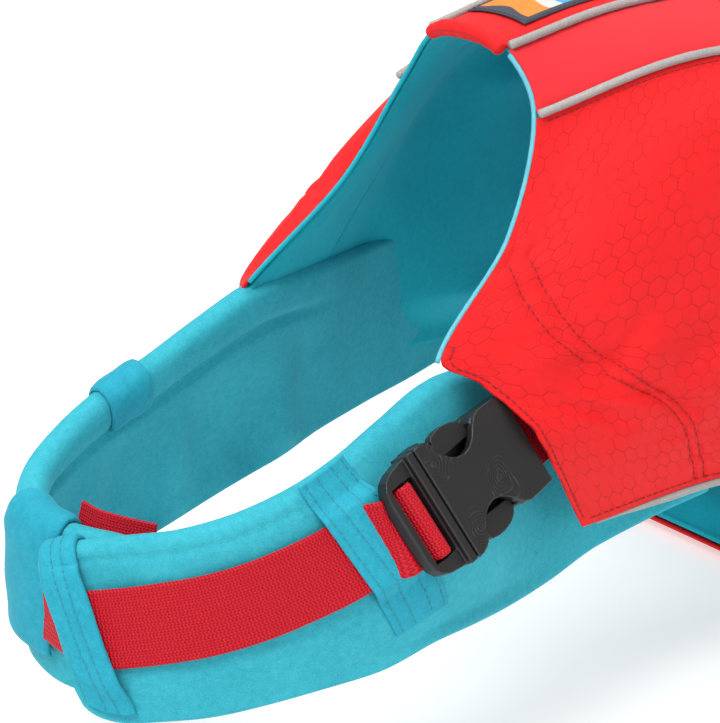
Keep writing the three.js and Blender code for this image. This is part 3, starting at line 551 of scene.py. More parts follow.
def side_relief(u, k):
    """How far the side shell sinks (+) or stands out (-) from its draft, metres."""
    d, there = quilt_distance(u, k)
    rows = np.exp(-((np.abs(d) - QUILT_HALF) / (1.1 * MM)) ** 2)
    sink = 0.75 * MM * rows * there
    run = k * LINE_STEP
    pucker = 0.5 * np.sin(run / (1.5 * MM) + 1.7 * np.sin(run / (6.1 * MM)))
    pucker += 0.5 * np.sin(run / (2.3 * MM) + 0.6)
    sink += 0.5 * MM * pucker * there * np.exp(-np.abs(np.abs(d) - QUILT_HALF) / (4.5 * MM))
    # A soft dart crosses the quilting where the flap turns.
    ax, ay = (u - 0.135) * BACK_LENGTH, (k - 4.02) * LINE_STEP
    across = 0.82 * ax + 0.57 * ay
    length = -0.57 * ax + 0.82 * ay
    sink += 1.3 * MM * np.exp(-(across / (3.0 * MM)) ** 2 - (length / (11 * MM)) ** 2)
    sink -= 0.9 * MM * np.exp(-((across - 5.5 * MM) / (4 * MM)) ** 2 - (length / (12 * MM)) ** 2)
    # Foam fills the panel behind the quilting.
    puff = smooth(2.0, 14, d / MM) * smooth(2.15, 2.8, k) * (1 - smooth(4.2, 5.0, k))
    sink -= 1.6 * MM * puff * (1 - smooth(0.8, 0.97, u))
    # The flap's cloth hangs in short soft folds below the quilting.
    here = smooth(0.02, 0.08, u) * (1 - smooth(0.26, 0.36, u)) * smooth(3.5, 3.9, k) \
        * (1 - smooth(5.0, 5.6, k))
    sink -= 1.5 * MM * here * np.sin(ax / (5.2 * MM) + 0.8 * np.sin(ay / (9 * MM))) \
        * np.cos(ay / (8.5 * MM) - 0.5)
    # Long soft waves in the cloth.
    sink -= 0.55 * MM * np.sin(9 * u * math.pi + 1.4 * k) * np.sin(2.1 * k + 3 * u) \
        * smooth(2.05, 2.6, k) * (1 - smooth(5.2, 5.8, k)) * smooth(0, 0.08, u)
    return sink


# The flap is cut back in a hollow over the buckle's mouth and stands forward below it.
FLAP_K = np.array([2.0, 3.90, 3.98, 4.06, 4.19, 4.39, 4.56, 4.74, 5.02, 5.31, 5.58, 5.80, 6.0])
FLAP_U = np.array([0, 0, 0.012, 0.025, 0.028, 0.025, 0.014, 0, -0.018, -0.020, -0.013, -0.006,
                   0])


def flap_edge(k):
    """Where the panel's front edge lies, as u, on each chest line."""
    k = np.asarray(k, float)
    return sum(np.interp(k + d, FLAP_K, FLAP_U) for d in (-0.05, 0, 0.05)) / 3


def edge_ease(u, k, k_low, k_high):
    """1 in the panel, 0 at its edges."""
    inside = u - flap_edge(k)
    return smooth(0, 0.006, inside) * smooth(0, 0.006, 1 - u) * smooth(0, 0.03, k - k_low) \
        * smooth(0, 0.03, k_high - k)


def neck_puff(u, k):
    """The right panel's padding swells out just behind its neck edge."""
    rise = np.exp(-((u - 0.035) / 0.034) ** 2) * smooth(-0.004, 0.014, u)
    span = smooth(1.9, 3.2, k) * (1 - smooth(4.1, 4.9, k))
    return 7.5 * MM * rise * span


def surface_row(us, ks, lift):
    """Points and normals along a line of (u, k) on the body's outer face."""
    points, normals = [], []
    for u, k, up in zip(us, ks, np.broadcast_to(lift, len(us))):
        n = body_normals([u], [abs(k)])[0, 0]
        p = body_skin([u], [abs(k)])[0, 0] + n * up
        if k < 0:
            p, n = p * (-1, 1, 1), n * (-1, 1, 1)
        points.append(p)
        normals.append(n)
    return np.array(points), np.array(normals)


side_us = np.concatenate([np.linspace(0, 0.3, 200), np.linspace(0.3, 1, 150)[1:]])
side_ks = np.linspace(2.03, 6, 190)
for side in ("left", "right"):
    sign = 1 if side == "left" else -1
    outer, inner = [], []
    for k in side_ks:
        front = flap_edge(k) if side == "left" else min(0.0, flap_edge(k))
        us = front + (1 - front) * side_us
        ease = edge_ease(us, k, 2.03, 6)
        sink = side_relief(us, k) * ease
        stand = neck_puff(us, k) if side == "right" else 0
        outer.append(body(us, [k], sink - stand)[0])
        inner.append(body(us, [k], SHELL + np.maximum(sink, 0) * 0.3 - stand)[0])
    outer, inner = np.array(outer), np.array(inner)
    flat = flat_places(outer)
    turn = np.array([sign, 1, 1])
    panel = grid_object(f"{side}_side_cloth", outer * turn, inner * turn, flat)
    panel.data.materials.append(ripstop)
    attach(panel, "jacket")
    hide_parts(f"{side}_side_shell")

    rows = []
    marks = np.linspace(3.24, 5.93, 90)
    for offset in (-1, 1):
        line_u, lean = quilt_line(marks)
        line_u = line_u + offset * QUILT_HALF * lean / BACK_LENGTH
        rows.append(surface_row(line_u, sign * marks, -side_relief(line_u, marks)))
    marks = np.linspace(3.75, 5.95, 80)
    rows.append(surface_row(flap_edge(marks) + 0.0065, sign * marks, 0.05 * MM))
    marks = np.linspace(0.012, 0.985, 160)
    rows.append(surface_row(marks, np.full(160, sign * 5.93), -side_relief(marks, 5.93)))
    rows.append(surface_row(marks, np.full(160, sign * 2.1), 0.05 * MM))
    seam = stitching(f"{side}_side_topstitch", rows, 2.0 * MM, 0.5 * MM, red_thread)
    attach(seam, "jacket")


# ------------------------------------------------------------------ yokes and back panel
# The yokes beside the spine are a plainer, slightly pinker red; the back panel between
# them is red ripstop. Both are sewn into the piping seams at their long edges.
YOKE_CORAL = (0.80, 0.026, 0.036, 1)
yoke_cloth = woven_cloth("plain_yoke_cloth", YOKE_CORAL, (0.50, 0.012, 0.018, 1), 0.7 * MM,
                         0.5, 0.6, 0.12, hexagons=False)
long_us = np.linspace(0, 1, 150)


def sewn_panel(name, nodes, us, ks, relief, material):
    """A thin shell between two seams, its cloth drawn in a little beside each seam."""
    u, k = np.meshgrid(us, ks)
    outer = body(us, ks, relief(u, k))
    inner = body(us, ks, SHELL + np.clip(relief(u, k), 0, 0.4 * MM))
    made = grid_object(name, outer, inner, flat_places(outer))
    made.data.materials.append(material)
    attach(made, "jacket")
    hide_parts(nodes)
    return made


def seam_tuck(low, high, depth):
    def relief(u, k):
        near = np.exp(-((np.abs(k) - low) / 0.09) ** 2) + np.exp(-((high - np.abs(k)) / 0.09) ** 2)
        ripple = 1 + 0.45 * np.sin(u * 210 + 3 * np.sin(u * 37))
        wave = 0.25 * MM * np.sin(u * 23 + 2 * k) * np.sin((np.abs(k) - low) * math.pi)
        return depth * near * ripple * smooth(0, 0.01, u) * smooth(0, 0.01, 1 - u) - wave
    return relief


for side, ks in (("left", np.linspace(1.03, 1.97, 44)), ("right", np.linspace(-1.97, -1.03, 44))):
    sewn_panel(f"{side}_yoke_cloth", f"{side}_yoke_shell", long_us, ks,
               seam_tuck(1, 2, 0.35 * MM), yoke_cloth)
sewn_panel("back_cloth", "spine_shell", long_us, np.linspace(-0.97, 0.97, 60),
           seam_tuck(0.97, 0.97, 0.3 * MM), ripstop)


# ------------------------------------------------------------------ foam inserts
# Buoyancy foam cut to each panel, closed inside shell and lining; only its edges could
# ever show. Skived thin at every seam.
foam_material, foam_tree, foam_shader = new_material("buoyancy_foam")
w = Wiring(foam_tree)
where = w.put("ShaderNodeTexCoord").outputs["Object"]
cells = w.put("ShaderNodeTexVoronoi")
w.feed(where, cells.inputs["Vector"])
cells.inputs["Scale"].default_value = 900
tone = w.spread(w.noise(where, 60, 3), 0.3, 0.7)
w.feed(w.blend(tone, (0.80, 0.79, 0.73, 1), (0.88, 0.87, 0.82, 1)),
       foam_shader.inputs["Base Color"])
w.feed(w.bump(cells.outputs["Distance"], 0.1 * MM, 0.5), foam_shader.inputs["Normal"])
foam_shader.inputs["Roughness"].default_value = 0.9
foam_us = np.linspace(0.14, 0.96, 90)


def foam_insert(name, node, us, ks):
    u, k = np.meshgrid(us, ks)
    outer = body(us, ks, INSIDE)
    inner = body(us, ks, INSIDE + SEAM_ALLOWANCE + foam_depth(u, k))
    made = grid_object(name, outer, inner, flat_places(outer))
    made.data.materials.append(foam_material)
    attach(made, "jacket")
    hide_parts(node)
    return made


foam_insert("left_side_pad", "left_side_foam", foam_us, np.linspace(2.2, 5.8, 50))
foam_insert("right_side_pad", "right_side_foam", foam_us, np.linspace(-5.8, -2.2, 50))
foam_insert("back_pad", "spine_foam", np.linspace(0.065, 0.96, 90), np.linspace(-1.97, 1.97, 50))


# ------------------------------------------------------------------ lining
# Smooth foam-backed knit that faces the dog, turned to the neck edge in front. It hangs
# in broad soft folds because it is cut a little larger than the shells.
knit_group, w, g_in, g_out = shader_group(
    "brushed_knit", [("Place", VECTOR, None), ("Fleck", FLOAT, 2300.0)],
    [("Shade", FLOAT), ("Height", FLOAT)])
fine = w.noise(g_in.outputs["Place"], g_in.outputs["Fleck"], 2, 0.6)
mid = w.noise(g_in.outputs["Place"], 420, 3, 0.6)
broad = w.noise(g_in.outputs["Place"], 32, 2)
shade = w.math("ADD", w.math("MULTIPLY", fine, 0.5), w.math("MULTIPLY", mid, 0.35))
w.feed(w.spread(w.math("ADD", shade, w.math("MULTIPLY", broad, 0.3)), 0.35, 0.8),
       g_out.inputs["Shade"])
w.feed(w.math("ADD", fine, w.math("MULTIPLY", mid, 0.6)), g_out.inputs["Height"])


def knit_cloth(name, light, dark):
    made, tree, shader = new_material(name)
    w = Wiring(tree)
    where = w.put("ShaderNodeTexCoord").outputs["Object"]
    knit = use(w, knit_group, Place=where)
    base = w.blend(knit.outputs["Shade"], dark, light)
    worn = use(w, wear_group, Colour=base, Amount=0.12, Scale=11)
    w.feed(worn.outputs["Colour"], shader.inputs["Base Color"])
    w.feed(w.bump(knit.outputs["Height"], 0.16 * MM, 0.75), shader.inputs["Normal"])
    w.feed(w.math("ADD", 0.72, w.math("MULTIPLY", knit.outputs["Shade"], 0.15)),
           shader.inputs["Roughness"])
    shader.inputs["Sheen Weight"].default_value = 0.12
    shader.inputs["Sheen Roughness"].default_value = 0.35
    shader.inputs["Sheen Tint"].default_value = (0.55, 0.95, 1.0, 1)
    shader.inputs["Specular IOR Level"].default_value = 0.15
    return made


teal_knit = knit_cloth("teal_neoprene", (0.060, 0.50, 0.60, 1), (0.018, 0.29, 0.38, 1))
# The lining's teal is a slightly darker, more saturated copy of the band's teal: painted shade for
# the shade inside the jacket.
painted_shade_lining_knit = knit_cloth("teal_lining_painted_shade", (0.018, 0.46, 0.56, 1), (0.006, 0.31, 0.40, 1))


def lining_top(u, k):
    return INSIDE + SEAM_ALLOWANCE + PANEL_GAP + foam_depth(u, k)


def lining_folds(u, k):
    """Broad folds that stand in towards the dog."""
    fold = np.sin(u * 30 + 1.3 * k) * np.sin(0.9 * k + 1) + 0.5 * np.sin(u * 17 - 2.2 * k)
    return 0.9 * MM * (1 + fold) * smooth(0.02, 0.1, u) * smooth(6, 5.6, np.abs(k))


def lining_piece(name, node, us, ks):
    u, k = np.meshgrid(us, ks)
    rise = smooth(0.0, 0.032, u - 0.003)
    top = (SHELL + 0.15 * MM) * (1 - rise) + (lining_top(u, k) + 0.3 * MM) * rise
    outer = body(us, ks, top)
    inner = body(us, ks, top + LINING - 0.3 * MM + lining_folds(u, k))
    made = grid_object(name, outer, inner, flat_places(inner))
    # Drawn in the darker copy of the band's teal, as painted shade.
    made.data.materials.append(painted_shade_lining_knit)
    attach(made, "jacket")
    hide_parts(node)
    return made


lining_piece("inner_lining", "body_lining", np.linspace(0.1, 0.985, 120),
             np.linspace(-6, 6, 200))
lining_piece("neck_facing", "neck_lining", np.linspace(0.003, 0.0995, 34),
             np.linspace(-4.3, 3.7, 160))


# ------------------------------------------------------------------ piping and binding
# Grey reflective piping stands in the spine, yoke and hem seams. A pale stretch binding
# edges the neck; on the right it is drawn in the darker lining teal, as painted shade.
def swept(name, path, radius, material, squeeze, sides=14):
    """A smooth tube along a path of points; squeeze scales it at each point."""
    path = np.asarray(path, float)
    tangent = np.gradient(path, axis=0)
    tangent /= np.linalg.norm(tangent, axis=1, keepdims=True)
    up = np.array([0.0, 0.0, 1.0])
    side = np.cross(tangent[0], up)
    side /= np.linalg.norm(side)
    verts, flat = [], []
    run = 0
    for i, (p, t) in enumerate(zip(path, tangent)):
        side = side - t * np.dot(side, t)
        side /= np.linalg.norm(side)
        over = np.cross(side, t)
        run += np.linalg.norm(path[i] - path[i - 1]) if i else 0
        r = radius * squeeze[i]
        for j in range(sides):
            a = 2 * math.pi * j / sides
            verts.append(p + r * (side * math.cos(a) + over * math.sin(a)))
            flat.append((run, radius * a))
    n = len(path)
    faces = []
    for i in range(n - 1):
        for j in range(sides):
            a, b = i * sides + j, i * sides + (j + 1) % sides
            faces.append((a, b, b + sides, a + sides))
    for ring, point, outward in ((0, path[0], -1), (n - 1, path[-1], 1)):
        tip = len(verts)
        verts.append(point + tangent[ring] * outward * radius * 0.35)
        flat.append((0, 0))
        for j in range(sides):
            faces.append((ring * sides + j, ring * sides + (j + 1) % sides, tip))
    made = mesh_object(name, verts, faces, flat)
    made.data.materials.append(material)
    return made


piping_material, piping_tree, piping_shader = new_material("reflective_piping_cloth")
w = Wiring(piping_tree)
place = cloth_place(w)
beads = w.put("ShaderNodeTexVoronoi")
w.feed(place, beads.inputs["Vector"])
beads.inputs["Scale"].default_value = 2600
grain = use(w, weave_group, Place=place, Pitch=0.6 * MM, Slub=0.8)
tone = w.spread(beads.outputs["Distance"], 0.1, 0.7)
base = w.blend(tone, (0.50, 0.48, 0.46, 1), (0.34, 0.33, 0.32, 1))
worn = use(w, wear_group, Colour=base, Amount=0.3, Scale=30)
w.feed(worn.outputs["Colour"], piping_shader.inputs["Base Color"])
w.feed(w.spread(tone, 0, 1, 0.34, 0.5), piping_shader.inputs["Roughness"])
w.feed(w.bump(grain.outputs["Height"], 0.08 * MM, 0.6), piping_shader.inputs["Normal"])
piping_shader.inputs["Metallic"].default_value = 0.15

PIPING_R = 1.5 * MM
PIPING_LIFT = PIPING_R + 0.15 * MM


def seam_run(k, us, lift):
    return np.array([body([u], [k], -lift)[0, 0] for u in us])


for side, sign in (("left", 1), ("right", -1)):
    for seam, k in (("spine", 1), ("yoke", 2)):
        marks = np.linspace(0.002, 0.992, 170)
        path = seam_run(k, marks, PIPING_LIFT * 0.62)
        wobble = 1 + 0.035 * np.sin(marks * 260) * np.sin(marks * 91)
        cord = swept(f"{side}_{seam}_cord", path * (sign, 1, 1), PIPING_R, piping_material,
                     wobble)
        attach(cord, "jacket")
        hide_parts(f"{side}_{seam}_piping")
    marks = np.linspace(0.02 if side == "left" else 0.09, 0.985, 170)
    edge = np.array([body([u], [HEM], SHELL / 2)[0, 0] for u in marks])
    inward = np.array([body([u], [HEM - 0.1], SHELL / 2)[0, 0] for u in marks])
    out = edge - inward
    out /= np.linalg.norm(out, axis=1, keepdims=True)
    grow = 0.3 + 0.7 * smooth(0, 0.12, marks - marks[0])
    cord = swept(f"{side}_hem_cord",
                 (edge + out * (PIPING_R * 1.05 * grow)[:, None]) * (sign, 1, 1), PIPING_R,
                 piping_material, grow)
    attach(cord, "jacket")
    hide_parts(f"{side}_hem_piping")

binding_material, binding_tree, binding_shader = new_material("pale_stretch_binding")
w = Wiring(binding_tree)
place = cloth_place(w)
grain = use(w, weave_group, Place=place, Pitch=0.7 * MM, Slub=0.7)
base = w.blend(grain.outputs["Shade"], (0.08, 0.44, 0.56, 1), (0.17, 0.58, 0.70, 1))
worn = use(w, wear_group, Colour=base, Amount=0.1, Scale=26)
w.feed(worn.outputs["Colour"], binding_shader.inputs["Base Color"])
w.feed(w.bump(grain.outputs["Height"], 0.1 * MM, 0.7), binding_shader.inputs["Normal"])
binding_shader.inputs["Roughness"].default_value = 0.62
BINDING_R = 0.85 * MM
for side, sign in (("left", 1), ("right", -1)):
    marks = np.linspace(1.1, 3.86, 130)
    edge = np.array([body([0], [k], SHELL / 2 + 0.6 * MM)[0, 0] for k in marks])
    behind = np.array([body([0.02], [k], SHELL / 2 + 0.6 * MM)[0, 0] for k in marks])
    out = edge - behind
    out /= np.linalg.norm(out, axis=1, keepdims=True)
    reach = (BINDING_R * 0.6) * (1 + 0.5 * smooth(2.4, 3.2, marks))
    # The right tape is pale binding too, drawn in the darker lining teal as painted shade.
    tape = swept(f"{side}_neck_tape", (edge + out * reach[:, None]) * (sign, 1, 1),
                 BINDING_R, binding_material if side == "left" else painted_shade_lining_knit,
                 1 + 0.05 * np.sin(marks * 60) * np.sin(marks * 17))
    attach(tape, "jacket")
    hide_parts(f"{side}_neck_binding")


# ------------------------------------------------------------------ collar roll and patch
# A soft padded roll of the shell cloth closes the front of the back panel, and a small
# woven patch with a plain banded figure is sewn behind it.
COLLAR_R = 3 * MM
marks = np.linspace(-0.96, 0.96, 60)
edge = np.array([body([0], [k], COLLAR_R - 1.5 * MM)[0, 0] for k in marks])
roll_path = edge + np.array([0, -COLLAR_R * 0.75, 0])
swell = 0.72 + 0.28 * np.sin(np.linspace(0, math.pi, 60)) ** 0.5 \
    + 0.03 * np.sin(np.linspace(0, 40, 60))
collar = swept("collar_padding", roll_path, COLLAR_R, ripstop, swell, sides=20)
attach(collar, "jacket")
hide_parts("collar_roll")

patch_material, patch_tree, patch_shader = new_material("woven_patch")
w = Wiring(patch_tree)
place = cloth_place(w)
parts = w.put("ShaderNodeSeparateXYZ")
w.feed(place, parts.inputs[0])
run, over = parts.outputs["X"], parts.outputs["Y"]
swing = w.math("MULTIPLY", w.math("SINE", w.math("MULTIPLY", over, 320)), 1.3 * MM)
height = w.math("ADD", run, swing)


def band_mask(low, high):
    above = w.math("GREATER_THAN", height, low)
    return w.math("MULTIPLY", above, w.math("LESS_THAN", height, high))


PATCH_GROUND = (0.055, 0.065, 0.09, 1)
base = w.blend(band_mask(5 * MM, 15 * MM), PATCH_GROUND, (0.85, 0.30, 0.03, 1))
base = w.blend(band_mask(15 * MM, 21 * MM), base, (0.80, 0.79, 0.74, 1))
base = w.blend(band_mask(21 * MM, 34 * MM), base, (0.08, 0.45, 0.80, 1))
PATCH_MIDDLE, PATCH_FIGURE_HALF = 14.5 * MM, 12.2 * MM
border = w.math("GREATER_THAN", w.math("ABSOLUTE", w.math("SUBTRACT", over, PATCH_MIDDLE)),
                PATCH_FIGURE_HALF)
base = w.blend(border, base, PATCH_GROUND)
grain = use(w, weave_group, Place=place, Pitch=0.6 * MM, Slub=0.8)
base = w.blend(w.math("MULTIPLY", grain.outputs["Shade"], 0.25), base, (0.02, 0.02, 0.03, 1))
w.feed(base, patch_shader.inputs["Base Color"])
w.feed(w.bump(grain.outputs["Height"], 0.1 * MM, 0.9), patch_shader.inputs["Normal"])
patch_shader.inputs["Roughness"].default_value = 0.7
us, ks = np.linspace(0.05, 0.23, 70), np.linspace(-0.7, 0.7, 40)
over_patch = body(us, ks, -1.0 * MM)
patch = grid_object("back_patch", over_patch, body(us, ks, -0.3 * MM), flat_places(over_patch))
patch.data.materials.append(patch_material)
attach(patch, "jacket")
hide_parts("spine_label")
patch_thread = thread_material("patch_thread", (0.09, 0.10, 0.13, 1))
rows = [surface_row(np.linspace(0.055, 0.225, 40), np.full(40, k), 1.05 * MM)
        for k in (-0.65, 0.65)]
rows += [surface_row(np.full(30, u), np.linspace(0.0, 0.65, 30), 1.05 * MM)
         for u in (0.055, 0.225)]
rows += [(p * (-1, 1, 1), n * (-1, 1, 1)) for p, n in rows[2:]]
patch_seam = stitching("back_patch_stitches", rows, 1.8 * MM, 0.45 * MM, patch_thread)
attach(patch_seam, "jacket")


# ------------------------------------------------------------------ chest band
# Two padded bands of foam-backed knit run from the neck lining round the front of the
# chest; each is one piece folded over its foam, with a seam under its rolled top edge.
BAND_T = 9 * MM
BAND_FOOT_T = 4 * MM
# The top and lower edge of each band's outer face, millimetres: the first "lead" points lie
# inside the side wall, then "n" equal steps go from 0, at the neck, to 1, at the front end,
# and the left band runs on past 1. "bulge" is how far the face stands out, millimetres, at
# places from 0 to 1, and "turn" is the side its face looks to.
BAND_LEFT = {
    "top": np.array([[55, -66, 6], [49, -90, 4], [44.5, -114.5, 3], [43, -140.5, 6.5],
                     [43.5, -165, 8.5], [47.5, -190, 3], [52, -212, -2], [52, -231, -7.5],
                     [45, -249.5, -14], [34, -262.5, -19], [21.5, -273, -22],
                     [8.5, -283, -25.5]]) * MM,
    "foot": np.array([[74, -60, -46], [68, -85, -51], [58, -105, -61], [58, -127, -65.5],
                      [61.5, -148, -65], [68, -170.5, -61.5], [72, -192, -60],
                      [70, -211.5, -65], [65, -229, -68], [57, -247.5, -71.5],
                      [47.5, -263.5, -74.5], [32.5, -277.5, -78]]) * MM,
    "bulge": [[0.06, 0.5], [0.32, 11], [0.66, 3], [1, 1.5]], "turn": 1, "lead": 2, "n": 9}
BAND_RIGHT = {
    "top": np.array([[-83, -40, 8], [-75, -75, 10.5], [-69.5, -110, 12.5], [-62, -142, 14.5],
                     [-56, -168.5, 16], [-55, -192, 8.5], [-55, -213, 0], [-56, -231, -7],
                     [-53.5, -250.5, -15], [-44.5, -268.5, -21.5], [-27.5, -280, -25.5],
                     [-7, -279, -27], [12, -268, -28]]) * MM,
    "foot": np.array([[-82, -40, -51], [-79, -69, -55], [-76, -99.5, -57.5],
                      [-72, -125.5, -59.5], [-66.5, -149, -62.5], [-66, -175, -67.5],
                      [-67, -198.5, -74], [-64, -220.5, -77.5], [-59, -240, -79],
                      [-50, -260, -80], [-33, -277, -81.5], [-11, -281, -83],
                      [11, -275, -83]]) * MM,
    "bulge": [[0.05, 1], [0.3, 4], [0.62, 3], [1, 1]], "turn": -1, "lead": 2, "n": 10}


def band_edges(half, s):
    at = np.atleast_1d(s) * half["n"] + half["lead"]
    return through(half["top"], at), through(half["foot"], at)


def band_at(half, s, t, lift):
    """A point of the band's outer face: s along it, t from top edge to foot; arrays."""
    s, t, lift = np.broadcast_arrays(np.asarray(s, float), t, lift)
    shape = s.shape
    s, t, lift = s.ravel(), t.ravel(), lift.ravel()
    e = 0.01
    (a0, b0), (a1, b1), (a, b) = (band_edges(half, s + d) for d in (-e, e, 0))
    near, far = a0 + (b0 - a0) * t[:, None], a1 + (b1 - a1) * t[:, None]
    n = np.cross(far - near, b - a) * half["turn"]
    n /= np.linalg.norm(n, axis=1, keepdims=True)
    knots = np.array(half["bulge"])
    i = np.clip(np.searchsorted(knots[:, 0], s) - 1, 0, len(knots) - 2)
    blend = np.clip((s - knots[i, 0]) / (knots[i + 1, 0] - knots[i, 0]), 0, 1)
    blend = blend * blend * (3 - 2 * blend)
    bulge = (knots[i, 1] + (knots[i + 1, 1] - knots[i, 1]) * blend) * MM
    crown = bulge * np.sin(math.pi * np.clip(t, 0, 1) ** 1.35)
    return (a + (b - a) * t[:, None] + n * (crown + lift)[:, None]).reshape(shape + (3,))


FACE_T = np.concatenate([np.linspace(0, 0.2, 14), np.linspace(0.2, 0.9, 34)[1:],
                         np.linspace(0.9, 1, 8)[1:]])


def band_ring(half, s_marks):
    """The band's closed outline at each step: down its face and back up behind."""
    tops, feet = band_edges(half, s_marks)
    s = s_marks[:, None]
    width = np.linalg.norm(feet - tops, axis=1)[:, None]
    low, high = half["trim"](s)
    loops = []
    for face in (1, -1):
        t = (FACE_T if face > 0 else FACE_T[::-1])[None]
        full = half["thick"](s) * (BAND_T + (BAND_FOOT_T - BAND_T) * smooth(0.1, 0.95, t))
        thick = full * half["end"](s)
        r_top, r_foot = (half["thick"](s) * half["end"](s) * r / 2
                         for r in (BAND_T, BAND_FOOT_T))
        span = width * (high - low)
        drop = 0
        for r, d in ((r_top, t * span), (r_foot, (1 - t) * span)):
            drop = drop + r - np.sqrt(np.maximum(r ** 2 - np.maximum(r - d, 0) ** 2, 0))
        place = low + (high - low) * t
        if face > 0:
            lift = -full / 2 + thick / 2 - drop + half["face"](s, place)
        else:
            lift = -full / 2 - thick / 2 + drop - half["back"](s, place)
        keep = slice(None) if face > 0 else slice(1, -1)
        loops.append(band_at(half, s, place, lift)[:, keep])
    return np.concatenate(loops, axis=1)


def band_body(name, node, half, s_marks):
    """A padded band: a closed loop of cloth round its foam at every step along it."""
    ring = band_ring(half, s_marks)
    n, m = ring.shape[:2]
    verts = ring.reshape(-1, 3)
    at = np.arange(n * m).reshape(n, m)
    nxt = np.roll(at, -1, axis=1)
    faces = np.stack([at[:-1], nxt[:-1], nxt[1:], at[1:]], -1).reshape(-1, 4).tolist()
    # Each end is closed by a ladder of faces between the face and the back.
    count = len(FACE_T)
    for row in (0, n - 1):
        behind = [at[row, 0]] + [at[row, m - j] for j in range(1, count - 1)] \
            + [at[row, count - 1]]
        for j in range(count - 1):
            corner = [at[row, j], at[row, j + 1], behind[j + 1], behind[j]]
            corner = [v for i, v in enumerate(corner) if v not in corner[:i]]
            if len(corner) > 2:
                faces.append(corner)
    middle = ring.mean(axis=1)
    run = np.concatenate([[0], np.cumsum(np.linalg.norm(np.diff(middle, axis=0), axis=1))])
    girth = np.cumsum(np.linalg.norm(np.diff(ring[n // 2], axis=0, append=ring[n // 2][:1]),
                                     axis=1))
    flat = np.stack(np.broadcast_arrays(run[:, None], girth[None]), -1).reshape(-1, 2)
    made = mesh_object(name, verts, faces, flat)
    made.data.materials.append(teal_knit)
    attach(made, "jacket")
    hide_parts(node)
    return made


def left_face(s, t):
    seam = -0.5 * MM * np.exp(-((t - 0.1) / 0.02) ** 2) * smooth(0.5, 0.6, s)
    dimple = -0.5 * MM * np.sin(s * 34 + 5 * t) * np.sin(math.pi * t) * smooth(0.55, 0.7, s)
    under_web = -0.5 * MM * np.exp(-((t - 0.43) / 0.3) ** 6) * smooth(0.44, 0.5, s)
    return seam + dimple + under_web


def left_back(s, t):
    return 0.8 * MM * np.sin(s * 29 - 4 * t) * np.sin(math.pi * t)


def right_face(s, t):
    return -0.5 * MM * np.sin(s * 31 + 4 * t) * np.sin(math.pi * t)


def right_back(s, t):
    """The side that faces the dog: a rolled edge, a crease under it and soft folds."""
    crease = -2.6 * MM * np.exp(-((t - 0.225) / 0.03) ** 2)
    roll = 1.2 * MM * np.exp(-((t - 0.11) / 0.07) ** 2)
    folds = 1.5 * MM * np.sin(s * 33 + 2.4 * t + 0.4) * smooth(0.25, 0.5, t) \
        + 0.9 * MM * np.sin(s * 61 - 3.5 * t) * smooth(0.3, 0.6, t)
    return (crease + roll + folds * (1 - smooth(0.9, 1, t)) * (1 - smooth(0.7, 0.85, s))) \
        * smooth(0.02, 0.2, s)


def round_front(end, depth):
    """Thickness, as a share of full, that closes the band softly at its front end."""
    def factor(s):
        near = np.clip((end - s) / depth, 0, 1)
        return 0.3 + 0.7 * np.sqrt(1 - (1 - near) ** 2)
    return factor


LEFT_END = 1.09


def left_trim(s):
    """The left band's front end is cut as a broad round corner."""
    a = np.clip((s - 1) / (LEFT_END - 1), 0, 1)
    corner = 1 - np.sqrt(1 - a ** 2)
    return 0.08 * corner, 1.09 - 0.06 * smooth(0.3, 0.9, s) - 0.24 * corner


def right_trim(s):
    """The right band keeps its full width to its end, under the left one."""
    return 0 * s, 1 + 0 * s


BAND_LEFT.update(face=left_face, back=left_back, trim=left_trim,
                 end=round_front(LEFT_END + 0.004, 0.03), thick=lambda s: 1 + 0 * s)
BAND_RIGHT.update(face=right_face, back=right_back, trim=right_trim,
                  end=round_front(1.004, 0.03),
                  thick=lambda s: 0.12 + 0.88 * smooth(-0.2, 0.1, s))
band_body("left_chest_band", "chest_band_left", BAND_LEFT, np.linspace(-0.2, LEFT_END, 220))
band_body("right_chest_band", "chest_band_right", BAND_RIGHT, np.linspace(-0.2, 1, 230))


# ------------------------------------------------------------------ keepers
# Loops of a darker knit tape hold the webbing flat on the band: a broad stitched one beside
# the buckle, a narrow stitched one at the front end, and two smooth ones on the right band.
WEBBING_W = 25 * MM
WEBBING_T = 1.3 * MM
KEEPER_T = 1 * MM
LAYER_GAP = 0.4 * MM
WEB_LIFT = LAYER_GAP + 0.3 * MM + WEBBING_T / 2
teal_thread = thread_material("teal_thread", (0.03, 0.30, 0.38, 1))


def web_line(s):
    return 0.4 + 0.07 * smooth(0.4, 1, s)


def over_band(half, s, offset, lift):
    """A point over the webbing's middle line on a band; arrays of s."""
    s = np.atleast_1d(np.asarray(s, float))
    e, t = 0.01, web_line(s)
    run = band_at(half, s + e, t, 0) - band_at(half, s - e, t, 0)
    w = band_at(half, s, t + 0.17, 0) - band_at(half, s, t - 0.17, 0)
    w /= np.linalg.norm(w, axis=-1, keepdims=True)
    n = np.cross(run, w) * half["turn"]
    n /= np.linalg.norm(n, axis=-1, keepdims=True)
    offset, lift = (np.asarray(x, float)[..., None] for x in (offset, lift))
    return band_at(half, s, t, 0) + w * offset + n * lift, w


keeper_knit = knit_cloth("teal_keeper_tape", (0.036, 0.42, 0.55, 1), (0.012, 0.26, 0.37, 1))


def stitch_grooves(pos, rows):
    """1 on each row of stitching across a keeper, fading to 0 beside it."""
    return sum((np.exp(-((pos - r) / 0.05) ** 2) for r in rows), np.zeros(len(pos)))


